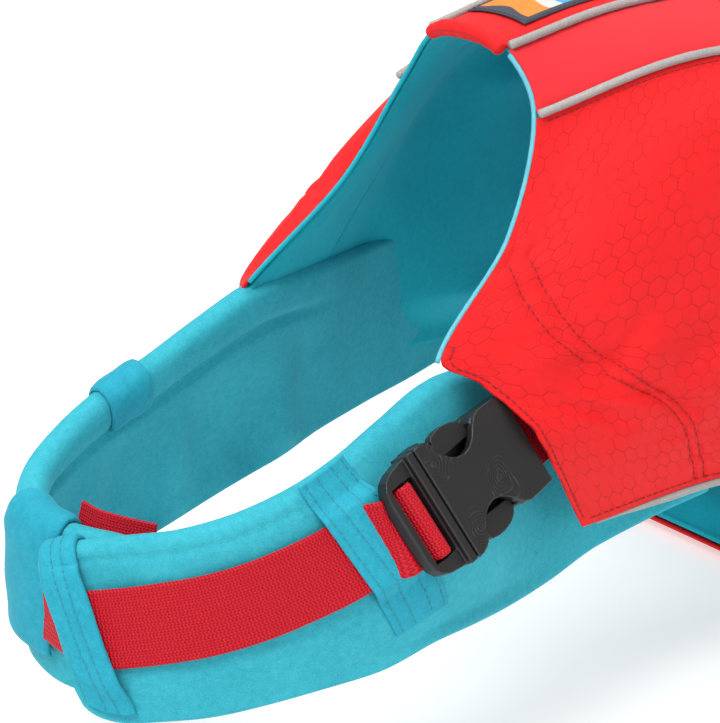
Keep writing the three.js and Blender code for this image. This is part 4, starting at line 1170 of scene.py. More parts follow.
def keeper_cloth(name, node, outer, inner, normals, rows):
    """A keeper's cloth from its two faces, with its rows of stitching."""
    made = grid_object(name, outer, inner, flat_places(outer))
    made.data.materials.append(keeper_knit)
    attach(made, "jacket")
    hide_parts(node)
    if rows:
        columns = [int(round(r * (outer.shape[1] - 1))) for r in rows]
        lines = [(outer[:, j], normals[:, j]) for j in columns]
        seam = stitching(f"{name}_stitches", lines, 1.9 * MM, 0.45 * MM, teal_thread)
        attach(seam, "jacket")


def keeper_strip(name, node, half, s0, s1, rows, puff, dips, slant, reach):
    """A loop over the webbing, sewn down above and below it, with rows of stitching."""
    pos = np.linspace(0, 1, 26)
    qs = np.linspace(reach[0], reach[1], 96)
    clear = WEB_LIFT + WEBBING_T / 2 + 0.55 * MM
    outer = np.zeros((len(qs), len(pos), 3))
    inner = np.zeros_like(outer)
    normals = np.zeros_like(outer)
    groove = stitch_grooves(pos, rows)
    crown = puff * np.sin(math.pi * pos) ** 0.6
    for i, q in enumerate(qs):
        s_marks = s0 + (s1 - s0) * pos - slant * (q + 0.36)
        tops, feet = band_edges(half, s_marks)
        off = q * np.linalg.norm(feet - tops, axis=1)
        over = (1 - smooth(WEBBING_W / 2 + 0.4 * MM, WEBBING_W / 2 + 5.5 * MM, np.abs(off)))
        ripple = dips * np.sin(i * 0.9 + 5 * pos) * groove
        thick = KEEPER_T + crown - 0.36 * MM * groove - ripple
        sheets = []
        for lift in (0, thick):
            low = band_at(half, s_marks, web_line(s_marks) + q, 0.25 * MM + lift)
            high = over_band(half, s_marks, off, clear + lift)[0]
            sheets.append(low + (high - low) * over[:, None])
        n = sheets[1] - sheets[0]
        n /= np.linalg.norm(n, axis=1, keepdims=True)
        outer[i], inner[i], normals[i] = sheets[1], sheets[0], n
    keeper_cloth(name, node, outer, inner, normals, rows)


keeper_strip("broad_keeper", "chest_keeper_broad", BAND_LEFT, 0.446, 0.549,
             (0.08, 0.3, 0.64, 0.88), 0.5 * MM, 0.1 * MM, 0.035, (-0.42, 0.5))


def round_keeper(name, node, half, s0, s1, back_to, front_to, puff, rows=()):
    """A smooth loop that goes over the band's rolled edge and down over its webbing."""
    s_marks = np.linspace(s0, s1, 28)
    ring = band_ring(half, s_marks)
    m = ring.shape[1]
    count = len(FACE_T)
    behind = [j for j in range(count, m) if FACE_T[m - j] <= back_to]
    before = [j for j in range(count) if FACE_T[j] <= front_to]
    order = behind + before
    strip = ring[:, order]
    n = np.cross(np.gradient(strip, axis=0), np.gradient(strip, axis=1))
    n /= np.linalg.norm(n, axis=2, keepdims=True)
    centre = ring.mean(axis=1)[:, None]
    n *= np.sign((n * (strip - centre)).sum(2, keepdims=True).mean())
    t = np.array([0.0] * len(behind) + [FACE_T[j] for j in before])
    reach = (WEBBING_W / 2 + 3 * MM) / (45 * MM)
    over_web = 1 - smooth(reach * 0.8, reach * 1.25, np.abs(t - 0.45))
    lift = 0.3 * MM + (WEB_LIFT + WEBBING_T / 2 + (0.9 * MM if rows else 0)) * over_web
    pos = np.linspace(0, 1, len(s_marks))
    groove = stitch_grooves(pos, rows)
    crown = puff * np.sin(math.pi * pos) ** 0.5 - 0.3 * MM * groove
    wave = 0.25 * MM * np.sin(pos[:, None] * 9 + t[None] * 14)
    inner = strip + n * lift[None, :, None]
    outer = strip + n * (lift[None] + KEEPER_T + crown[:, None] + wave)[..., None]
    keeper_cloth(name, node, *(face.transpose(1, 0, 2) for face in (outer, inner, n)), rows)


round_keeper("front_keeper", "chest_keeper_front", BAND_LEFT, 0.995, 1.075, 0.3, 0.94, 1.2 * MM,
             (0.36, 0.62))
round_keeper("right_front_keeper", "right_keeper_front", BAND_RIGHT, 0.775, 0.91, 0.3, 0.8,
             1.3 * MM)
round_keeper("right_rear_keeper", "right_keeper_rear", BAND_RIGHT, 0.42, 0.515, 0.2, 0.8,
             1.0 * MM)


# ------------------------------------------------------------------ webbing
# 25 mm nylon webbing, woven in fine cross ribs with a firm rolled selvedge. The chest
# webbing is threaded through the plug and runs round under the keepers.
RIB = 1.15 * MM
webbing_material, webbing_tree, webbing_shader = new_material("red_nylon_webbing")
w = Wiring(webbing_tree)
place = cloth_place(w)
parts = w.put("ShaderNodeSeparateXYZ")
w.feed(place, parts.inputs[0])
along, over = parts.outputs["X"], parts.outputs["Y"]
stagger = w.math("MULTIPLY", w.math("SINE", w.math("MULTIPLY", over, 2 * math.pi / (1.7 * MM))),
                 1.3)
yarn = w.math("SINE", w.math("ADD", w.math("MULTIPLY", along, 2 * math.pi / RIB), stagger))
end = w.math("SINE", w.math("MULTIPLY", over, 2 * math.pi / (0.85 * MM)))
height = w.math("ADD", w.math("MULTIPLY", yarn, 0.7), w.math("MULTIPLY", end, 0.4))
slub = w.noise(place, 900, 3)
tone = w.spread(w.math("ADD", height, w.math("MULTIPLY", slub, 0.8)), -0.7, 1.4)
base = w.blend(tone, (0.28, 0.001, 0.007, 1), (0.70, 0.004, 0.020, 1))
worn = use(w, wear_group, Colour=base, Amount=0.18, Scale=22)
w.feed(worn.outputs["Colour"], webbing_shader.inputs["Base Color"])
w.feed(w.bump(height, 0.14 * MM, 0.9), webbing_shader.inputs["Normal"])
w.feed(w.spread(tone, 0, 1, 0.62, 0.42), webbing_shader.inputs["Roughness"])
webbing_shader.inputs["Specular IOR Level"].default_value = 0.22
webbing_shader.inputs["Sheen Weight"].default_value = 0.04
webbing_shader.inputs["Sheen Tint"].default_value = (1, 0.7, 0.7, 1)


def strap(name, node, path, across, width=WEBBING_W, thickness=WEBBING_T, step=0.35 * MM,
          material=None, rib=0.09 * MM):
    """Webbing along a path, with its ribs and rolled selvedges in the mesh."""
    path, across = np.asarray(path, float), np.asarray(across, float)
    run = np.concatenate([[0], np.cumsum(np.linalg.norm(np.diff(path, axis=0), axis=1))])
    n = int(run[-1] / step) + 1
    at = np.linspace(0, run[-1], n)

    def eased(values):
        knots = through(values, np.linspace(0, len(values) - 1, 12 * len(values)))
        d = np.concatenate([[0], np.cumsum(np.linalg.norm(np.diff(through(
            path, np.linspace(0, len(values) - 1, 12 * len(values))), axis=0), axis=1))])
        return np.stack([np.interp(at * d[-1] / run[-1], d, knots[:, c]) for c in range(3)], 1)

    centre, side = eased(path), eased(across)
    tangent = np.gradient(centre, axis=0)
    tangent /= np.linalg.norm(tangent, axis=1, keepdims=True)
    side -= tangent * (side * tangent).sum(1, keepdims=True)
    side /= np.linalg.norm(side, axis=1, keepdims=True)
    up = np.cross(tangent, side)
    cols = np.concatenate([[-0.5, -0.494, -0.48, -0.46], np.linspace(-0.44, 0.44, 24),
                           [0.46, 0.48, 0.494, 0.5]])
    edge = np.clip((0.5 - np.abs(cols)) / 0.035, 0, 1)
    round_off = np.sqrt(1 - (1 - edge) ** 2)
    selvedge = 0.12 * MM * np.exp(-((np.abs(cols) - 0.455) / 0.014) ** 2)
    weave = rib * np.sin(2 * math.pi * at / RIB)[:, None] * (np.abs(cols) < 0.45)[None]
    half = (thickness / 2 - 0.06 * MM) * round_off[None] + weave + selvedge[None]
    offset = side[:, None] * (cols * width)[None, :, None]
    top = centre[:, None] + offset + up[:, None] * half[..., None]
    under = centre[:, None] + offset - up[:, None] * half[..., None]
    n, m = top.shape[:2]
    verts = np.concatenate([top.reshape(-1, 3), under.reshape(-1, 3)])
    ids = np.arange(n * m).reshape(n, m)
    upper = np.stack([ids[:-1, :-1], ids[1:, :-1], ids[1:, 1:], ids[:-1, 1:]], -1).reshape(-1, 4)
    lower = upper[:, ::-1] + n * m
    walls = []
    for col in (0, m - 1):
        a, b = ids[:-1, col], ids[1:, col]
        walls.append(np.stack([a, b, b + n * m, a + n * m], -1))
    for row in (0, n - 1):
        a, b = ids[row, :-1], ids[row, 1:]
        walls.append(np.stack([a, b, b + n * m, a + n * m], -1))
    places = np.stack(np.broadcast_arrays(at[:, None], (cols * width)[None]), -1).reshape(-1, 2)
    made = mesh_object(name, verts, np.concatenate([upper, lower, *walls]),
                       np.concatenate([places, places]))
    made.data.materials.append(material or webbing_material)
    if node:
        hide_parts(node)
    return made


# The buckle's own frame: +X the way the plug goes in, +Z away from the cloth, with the
# plug meeting the socket at X = 0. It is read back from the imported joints.
joints = {joint["name"]: joint for joint in frame["joints"]}
ARM_PIVOT = np.array([0.8, 12.4, 4.5]) * MM


def buckle_frame(name):
    out = -np.array(joints[f"{name}_release"]["axis"], float)
    up = -np.array(joints[f"{name}_squeeze_a"]["axis"], float)
    out /= np.linalg.norm(out)
    up /= np.linalg.norm(up)
    side = np.cross(up, out)
    pivots = [np.array(joints[f"{name}_squeeze_{arm}"]["pos_m"], float) for arm in "ab"]
    origin = (pivots[0] + pivots[1]) / 2 - out * ARM_PIVOT[0] - up * ARM_PIVOT[2]
    made = np.eye(4)
    made[:3, 0], made[:3, 1], made[:3, 2], made[:3, 3] = out, side, up, origin
    return made


def placed(points, matrix):
    return np.asarray(points, float) @ matrix[:3, :3].T + matrix[:3, 3]


PLUG_L = 16.5
END_BAR = 2.8
SLOT_L = 3.5
SLOT_A = -PLUG_L + END_BAR + SLOT_L / 2
SLOT_B = -4.1 - SLOT_L / 2
BAR_MID = (SLOT_A + SLOT_B) / 2
LADDER = [(-PLUG_L - 1, 0.9), (SLOT_A - 1.3, 1.1), (SLOT_A, 3.6), (SLOT_A + 1.3, 6.8),
          (BAR_MID, 7.3), (SLOT_B - 1.3, 6.8), (SLOT_B, 4.2), (SLOT_B, 2)]
ladder_points = np.array([(x, 0, z) for x, z in LADDER]) * MM
chest = buckle_frame("chest_buckle")


def s_at_y(half, y, t=0.42):
    """How far along a band it reaches y, at t across it."""
    marks = np.linspace(0, 1, 4000)
    tops, feet = band_edges(half, marks)
    return float(np.interp(-y, -(tops + (feet - tops) * t)[:, 1], marks))


MOUTH_Y = -0.193                # the socket's mouth
path = list(placed(ladder_points[::-1], chest))
across = [-chest[:3, 1]] * len(path)
near_marks = np.linspace(s_at_y(BAND_LEFT, MOUTH_Y - 0.019), 1.035, 16)
near, near_ways = over_band(BAND_LEFT, near_marks, 0.0, WEB_LIFT + 0.2 * MM)
far, far_ways = over_band(BAND_RIGHT, np.linspace(0.88, 0.22, 15), 0.0, WEB_LIFT)
bridge = np.linspace(0, 1, 6)[1:-1, None]
bow = np.array([0, -1.2 * MM, 0]) * np.sin(math.pi * bridge)
path += [*near, *(near[-1] + (far[0] - near[-1]) * bridge + bow), *far]
across += [*near_ways, *(near_ways[-1] + (far_ways[0] - near_ways[-1]) * bridge), *far_ways]
chest_webbing = strap("chest_band_webbing", "chest_webbing", path, across)
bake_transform(chest_webbing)


# The end of the webbing is tucked in between the two bands where they meet.
route = np.array([(-13, -268, -34), (-4, -267.5, -34), (5, -263.5, -34.5),
                  (14, -257.5, -35.5)]) * MM
tail = strap("chest_webbing_tail", None, route, [(0, 0.35, 1)] * 4, width=20 * MM)
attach(tail, "jacket")


# ------------------------------------------------------------------ buckles
# Three 25 mm side-release buckles, moulded in black acetal with a satin finish: a waisted
# socket with raised contour lines, a plug with a ladder for the webbing, and two latch
# arms whose pads show in the socket's windows.
BUCKLE_H = 9
SOCKET_L, SOCKET_END_HALF = 33, 16.4
SLOT_HALF = 13.2
plastic_material, plastic_tree, plastic_shader = new_material("black_acetal")
w = Wiring(plastic_tree)
where = w.put("ShaderNodeTexCoord").outputs["Object"]
grain = w.noise(where, 1500, 3, 0.6)
worn = use(w, wear_group, Colour=(0.011, 0.011, 0.012, 1), Amount=0.35, Scale=60)
rub = w.put("ShaderNodeNewGeometry").outputs["Pointiness"]
rub = w.math("MULTIPLY", w.spread(rub, 0.52, 0.60), w.spread(w.noise(where, 240, 3), 0.4, 0.7))
base = w.blend(w.math("MULTIPLY", rub, 0.45), worn.outputs["Colour"], (0.05, 0.05, 0.053, 1))
w.feed(base, plastic_shader.inputs["Base Color"])
w.feed(w.math("ADD", 0.30, w.math("MULTIPLY", grain, 0.2)), plastic_shader.inputs["Roughness"])
w.feed(w.bump(grain, 0.03 * MM, 0.6), plastic_shader.inputs["Normal"])


def solid_from(outline, low, high):
    """A prism from an outline, in millimetres, as a bmesh."""
    made = bmesh.new()
    verts = [made.verts.new((x, y, low)) for x, y in outline]
    face = made.faces.new(verts)
    top = bmesh.ops.extrude_face_region(made, geom=[face])
    moved = [v for v in top["geom"] if isinstance(v, bmesh.types.BMVert)]
    bmesh.ops.translate(made, verts=moved, vec=(0, 0, high - low))
    bmesh.ops.recalc_face_normals(made, faces=made.faces)
    return made


def cut_shape(name, first, joined=(), cut=()):
    """Prisms joined to and cut from a first one; returns the temporary object."""
    def as_object(part, label):
        mesh = bpy.data.meshes.new(label)
        solid_from(*part).to_mesh(mesh)
        return plain_object(label, mesh)

    made = as_object(first, name)
    for kind, parts in (("UNION", joined), ("DIFFERENCE", cut)):
        for i, part in enumerate(parts):
            tool = as_object(part, f"{name}_{kind.lower()}_{i}")
            modifier = made.modifiers.new(kind, "BOOLEAN")
            modifier.operation = kind
            modifier.object = tool
            modifier.solver = "EXACT"
            mesh = bpy.data.meshes.new_from_object(
                made.evaluated_get(bpy.context.evaluated_depsgraph_get()))
            made.modifiers.clear()
            made.data = mesh
            bpy.data.objects.remove(tool)
    return made


def moulded(name, node, body_name, matrix, shape, voxel, relief=None, rounds=3):
    """Softens a cut shape as moulding does, adds its relief and sets it in place."""
    remesh = shape.modifiers.new("remesh", "REMESH")
    remesh.mode = "VOXEL"
    remesh.voxel_size = voxel
    soften = shape.modifiers.new("soften", "SMOOTH")
    soften.factor = 0.5
    soften.iterations = rounds
    mesh = bpy.data.meshes.new_from_object(
        shape.evaluated_get(bpy.context.evaluated_depsgraph_get()))
    bpy.data.objects.remove(shape)
    points = np.zeros(len(mesh.vertices) * 3)
    mesh.vertices.foreach_get("co", points)
    points = points.reshape(-1, 3)
    if relief is not None:
        normals = np.zeros(len(mesh.vertices) * 3)
        mesh.vertices.foreach_get("normal", normals)
        points = relief(points, normals.reshape(-1, 3))
    points = placed(points * MM, matrix)
    mesh.vertices.foreach_set("co", points.ravel())
    mesh.update()
    mesh.shade_smooth()
    made = plain_object(name, mesh)
    made.data.materials.append(plastic_material)
    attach(made, body_name)
    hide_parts(node)
    return made


def mirrored(points):
    return points + [(x, -y) for x, y in reversed(points)]


# Half outlines of the socket, millimetres back from its mouth and out from its middle; the
# waist and the tail are closed at the socket's end in make_buckle.
WAIST = [(0, 18.9), (0.6, 19.5), (2.5, 19.4), (4.4, 18.5), (6.4, 16.3), (8.4, 13.3), (10.6, 10.8),
         (13.4, 9.2), (16.5, 8.6), (19.8, 9.2), (22.8, 11.1), (25.2, 13.6), (27.8, 15.8),
         (30.5, 16.8)]
BODY_SIDE = [(0, 18.9), (0.6, 19.5), (6, 19.5), (8.6, 19.0), (8.7, 17.8), (26.6, 16.6),
             (30.5, 16.8), (SOCKET_L, SOCKET_END_HALF)]
SHOULDER = [(0, 18.9), (0.6, 19.5), (5.5, 19.3), (7.6, 18.0), (8.6, 16.4), (8.6, 8)]
TAIL = [(25.8, 8), (25.8, 15.0), (27.8, 16.2), (30.5, 16.8)]
SPINE_RIB = [(7, 2.2), (27, 2.2)]


def contour_relief(points, normals):
    """Crowned faces and raised contour lines, as on a topographic map."""
    x, y, z = points.T
    out = points.copy()
    crown = 0.55 * (1 - (y / 21) ** 2) * np.sin(np.pi * np.clip((x + 3) / 36, 0, 1))
    top = smooth(0.3, 0.8, normals[:, 2]) * (z > 6.5)
    field = np.hypot((x - 5) * 0.75, y - 12.5) + 1.1 * np.sin(x * 0.55 + y * 0.3)
    field = np.minimum(field, np.hypot(x - 24, (y + 5) * 0.8) + 0.9 * np.sin(x * 0.4 - y * 0.5))
    field = np.minimum(field, np.hypot(x - 6.5, y + 12) + 0.8 * np.sin(y * 0.6))
    line = np.exp(-(((field / 1.25) % 1 - 0.5) / 0.14) ** 2)
    there = (1 - smooth(5.8, 7.6, field)) * smooth(1.2, 2.4, x) * (1 - smooth(29, 31, x))
    out[:, 2] += top * (crown * 0.6 + 0.36 * line * there)
    return out


def window_box(x0, x1, y0, y1, z0, z1):
    return ([(x0, y0), (x1, y0), (x1, y1), (x0, y1)], z0, z1)


def make_buckle(name, matrix, fine, longer=0.0):
    """One whole buckle; longer is how far its socket runs on past the usual length."""
    far_end = [(SOCKET_L + longer, SOCKET_END_HALF)]
    socket = cut_shape(
        f"{name}_socket_raw", (mirrored(WAIST + far_end), 6.0, BUCKLE_H),
        joined=((mirrored(BODY_SIDE), 0, 2.6), (mirrored(SHOULDER), 1.5, 7.5),
                (mirrored(TAIL + far_end), 1.5, 7.5), (mirrored(SPINE_RIB), 1.5, 7.5)),
        cut=(window_box(-1, 7, -15.5, 15.5, 2, 7), window_box(6.9, 24.9, 2.2, 15.4, 2.6, 6.2),
             window_box(6.9, 24.9, -15.4, -2.2, 2.6, 6.2),
             window_box(26.6, 29.6, -SLOT_HALF, SLOT_HALF, -1, 6.4),
             window_box(29, SOCKET_L + 1 + longer, -SLOT_HALF, SLOT_HALF, -1, 2.2 + longer / 2),
             ([(4, -3), (24, -2.4), (24, 2.4), (4, 3)], 3.3, 6.7)))
    moulded(f"{name}_socket_body", f"{name}_socket", "jacket", matrix, socket, fine,
            contour_relief)
    loop = [(-0.4, 19.5), (-3.0, 19.5), (-3.9, 18.9), (-6.5, 18.6), (-10.5, 17.9),
            (-13.8, 16.4), (-15.8, 13.6), (-16.5, 9.6)]
    plug = cut_shape(
        f"{name}_plug_raw", (mirrored(loop)[::-1], 1.9, 6.6),
        joined=((mirrored([(-3.6, 19.4), (-0.4, 19.4)]), 0.4, 8.6),
                (mirrored([(-1, 2.6), (15, 2.4)]), 3.6, 6.4)),
        cut=(window_box(SLOT_A - SLOT_L / 2, SLOT_A + SLOT_L / 2, -SLOT_HALF, SLOT_HALF, -1, 12),
             window_box(SLOT_B - SLOT_L / 2, SLOT_B + SLOT_L / 2, -SLOT_HALF, SLOT_HALF, -1, 12),
             window_box(SLOT_A + SLOT_L / 2 - 0.1, SLOT_B - SLOT_L / 2 + 0.1, -SLOT_HALF,
                        SLOT_HALF, 5.4, 12)))
    moulded(f"{name}_plug_body_piece", f"{name}_plug", f"{name}_plug_body", matrix, plug, fine)
    arm = [(0.8, 11.0), (9, 11.2), (24.4, 11.6), (25.2, 13.2), (24.9, 15.2), (23.4, 17.1),
           (20.8, 18.5), (17.4, 19.2), (13.8, 19.2), (11.0, 18.6), (9.8, 17.4), (9.4, 15.0),
           (0.8, 14.4)]
    for which, turn in (("a", 1), ("b", -1)):
        outline = arm if turn > 0 else [(x, -y) for x, y in reversed(arm)]
        latch = cut_shape(f"{name}_arm_raw_{which}", (outline, 2.9, 6.1))
        moulded(f"{name}_latch_{which}_arm", f"{name}_latch_{which}", f"{name}_arm_{which}",
                matrix, latch, fine, rounds=2)
    # The socket's tab: webbing folded round the socket's bar and sewn to the cloth.
    low = -0.55
    fold = np.array([(58, low), (50, low), (45, low + 0.1), (39, 0.3), (35, 0.7), (31.5, 0.9),
                     (28.6, 1.4), (27.7, 2.8), (28.2, 4.4), (30.6, 4.9), (33.6, 4.2), (37, 2.9),
                     (41, 1.7), (46, 1.0), (50, 0.95), (58, 0.95)])
    route = placed(np.stack([fold[:, 0], 0 * fold[:, 0], fold[:, 1]], 1) * MM, matrix)
    tab = strap(f"{name}_tab_webbing", f"{name}_socket_tab", route,
                [-matrix[:3, 1]] * len(route))
    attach(tab, "jacket")


make_buckle("chest_buckle", chest, 0.3, longer=9.5)
belly_frames = {end: buckle_frame(f"belly_{end}_buckle") for end in ("front", "rear")}
for end, matrix in belly_frames.items():
    make_buckle(f"belly_{end}_buckle", matrix, 0.38)


# ------------------------------------------------------------------ belly panel
# The padded panel under the chest: ripstop shell, thin foam and knit lining, closed all
# round by an edge seam, its sides turned up a little.
BELLY_Z = -117 * MM
BELLY_FRONT, BELLY_REAR = 4 * MM, 186 * MM
BELLY_HALF, BELLY_FLAT = 67 * MM, 36 * MM
BELLY_RISE = 12 * MM
BELLY_FOAM = 6 * MM


def belly_at(x, y, up):
    """A point of the panel, up above its underside; it is narrower at its two ends."""
    end = np.minimum(y - BELLY_FRONT, BELLY_REAR - y)
    waist = 1 - 0.14 * (1 - smooth(0, 30 * MM, end))
    bend = np.clip((np.abs(x * waist) - BELLY_FLAT) / (BELLY_HALF - BELLY_FLAT), 0, None) ** 2
    return np.stack([x * waist, y, BELLY_Z + BELLY_RISE * bend + up], -1)


def belly_foam(x, y):
    return BELLY_FOAM * (1 - smooth(50 * MM, 64 * MM, np.abs(x))) \
        * smooth(BELLY_FRONT + 2 * MM, BELLY_FRONT + 20 * MM, y) \
        * (1 - smooth(BELLY_REAR - 20 * MM, BELLY_REAR - 2 * MM, y))


def belly_edge(x, y):
    """Distance in from the panel's edge."""
    return np.minimum(BELLY_HALF - np.abs(x), np.minimum(y - BELLY_FRONT, BELLY_REAR - y))


belly_xs = np.linspace(-BELLY_HALF, BELLY_HALF, 130)
belly_ys = np.linspace(BELLY_FRONT, BELLY_REAR, 150)
x, y = np.meshgrid(belly_xs, belly_ys)
seam = np.exp(-((belly_edge(x, y) - 3.2 * MM) / (0.9 * MM)) ** 2)
ripple = 1 + 0.4 * np.sin(x / (1.3 * MM)) * np.sin(y / (1.5 * MM))
under = belly_at(x, y, 0.35 * MM * seam * ripple)
belly_shell = grid_object("belly_cloth", under, belly_at(x, y, SHELL), flat_places(under))
belly_shell.data.materials.append(ripstop)
lining_up = INSIDE + SEAM_ALLOWANCE + PANEL_GAP + belly_foam(x, y)
soft = 0.6 * MM * np.sin(x / (9 * MM)) * np.sin(y / (13 * MM)) * smooth(0, 12 * MM,
                                                                        belly_edge(x, y))
above = belly_at(x, y, lining_up + LINING + soft - 0.4 * MM * seam)
belly_lining = grid_object("belly_lining_cloth", above, belly_at(x, y, lining_up),
                           flat_places(above))
# The belly lining takes the same darker teal, as painted shade.
belly_lining.data.materials.append(painted_shade_lining_knit)
pad_x, pad_y = np.meshgrid(np.linspace(-60, 60, 60) * MM,
                           np.linspace(BELLY_FRONT + 8 * MM, BELLY_REAR - 8 * MM, 70))
pad_top = belly_at(pad_x, pad_y, INSIDE + SEAM_ALLOWANCE + belly_foam(pad_x, pad_y))
belly_pad = grid_object("belly_pad", pad_top, belly_at(pad_x, pad_y, INSIDE),
                        flat_places(pad_top))
belly_pad.data.materials.append(foam_material)
for piece, node, slot_name in ((belly_shell, "belly_panel_shell", "red_ripstop"),
                               (belly_lining, "belly_panel_lining", "teal_neoprene"),
                               (belly_pad, "belly_panel_foam", "foam")):
    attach(piece, "jacket")
    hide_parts(node)
reach_x, reach_y = BELLY_HALF - 3.2 * MM, 3.2 * MM
down = np.array([0, 0, -1.0])
lines = []
for x0, y0, x1, y1 in ((-reach_x, BELLY_FRONT + reach_y, reach_x, BELLY_FRONT + reach_y),
                       (-reach_x, BELLY_REAR - reach_y, reach_x, BELLY_REAR - reach_y),
                       (-reach_x, BELLY_FRONT + reach_y, -reach_x, BELLY_REAR - reach_y),
                       (reach_x, BELLY_FRONT + reach_y, reach_x, BELLY_REAR - reach_y)):
    marks = np.linspace(0, 1, 80)
    line = belly_at(x0 + (x1 - x0) * marks, y0 + (y1 - y0) * marks, 0.15 * MM)
    lines.append((line, np.tile(down, (80, 1))))
belly_seam = stitching("belly_edge_stitches", lines, 2.0 * MM, 0.5 * MM, red_thread)
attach(belly_seam, "jacket")


# ------------------------------------------------------------------ belly straps
# Two lengths of the same webbing run from the right side, under the belly panel through
# a keeper, up to the plugs of the two belly buckles.
def eased_path(points, n):
    """A smooth path through unevenly spaced points."""
    points = np.asarray(points, float)
    knots = np.concatenate([[0], np.cumsum(np.sqrt(np.linalg.norm(np.diff(points, axis=0),
                                                                  axis=1)))])
    ends = [2 * points[0] - points[1], *points, 2 * points[-1] - points[-2]]
    times = [2 * knots[0] - knots[1], *knots, 2 * knots[-1] - knots[-2]]
    out = []
    for v in np.linspace(0, knots[-1], n):
        i = int(np.clip(np.searchsorted(knots, v, side="right") - 1, 0, len(points) - 2))
        p, t = ends[i:i + 4], times[i:i + 4]
        a = [(p[j] * (t[j + 1] - v) + p[j + 1] * (v - t[j])) / (t[j + 1] - t[j])
             for j in range(3)]
        b = [(a[j] * (t[j + 2] - v) + a[j + 1] * (v - t[j])) / (t[j + 2] - t[j])
             for j in range(2)]
        out.append((b[0] * (t[2] - v) + b[1] * (v - t[1])) / (t[2] - t[1]))
    return np.array(out)


GAP, WEB_HALF_T = LAYER_GAP / MM, WEBBING_T / 2 / MM
for end, matrix in belly_frames.items():
    y = matrix[1, 3]
    side = matrix[0, 3] / MM - 0.6
    under = BELLY_Z / MM - GAP - WEB_HALF_T
    draft = [(-side, -10), (-side, -32), (-side, -54), (-side + 1.5, -70), (-side + 9, -87),
             (-73, -104), (-54, under + 1.8), (-36, under), (0, under), (36, under),
             (54, under + 1.8), (72, -105), (side - 7, -94)]
    path = eased_path([(x * MM, y, z * MM) for x, z in draft], 60)
    path = np.concatenate([path, placed(ladder_points, matrix)])
    webbing = strap(f"belly_{end}_strap", f"belly_{end}_webbing", path,
                    [(0, 1, 0)] * len(path))
    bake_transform(webbing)
    reach = WEBBING_W / 2 / MM
    low = BELLY_Z / MM - GAP - KEEPER_T / 2 / MM
    over = low - 2 * WEB_HALF_T - GAP
    loop = np.array([(-reach - 9, low), (-reach - 3, low), (-reach - 1.5, over),
                     (0, over - 0.2), (reach + 1.5, over), (reach + 3, low),
                     (reach + 9, low)]) * MM
    route = np.stack([0 * loop[:, 0], y + loop[:, 0], loop[:, 1]], 1)
    keeper = strap(f"belly_{end}_keeper_loop", f"belly_{end}_keeper", route,
                   [(1, 0, 0)] * len(route), width=22 * MM, thickness=KEEPER_T,
                   step=0.7 * MM, material=teal_knit, rib=0)
    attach(keeper, "jacket")


# ------------------------------------------------------------------ grab handles
# Webbing arches sewn to the back panel at both ends, with a padded knit sleeve round the
# part that is held.
HANDLE_H = 30
GRIP_T = 5.4
GRIP_STEPS, GRIP_SIDES = 90, 48
SPINE_TOP = body_skin(np.linspace(0, 1, 201), [0])[0]


def spine_z(y):
    return float(np.interp(y, SPINE_TOP[:, 1], SPINE_TOP[:, 2])) / MM


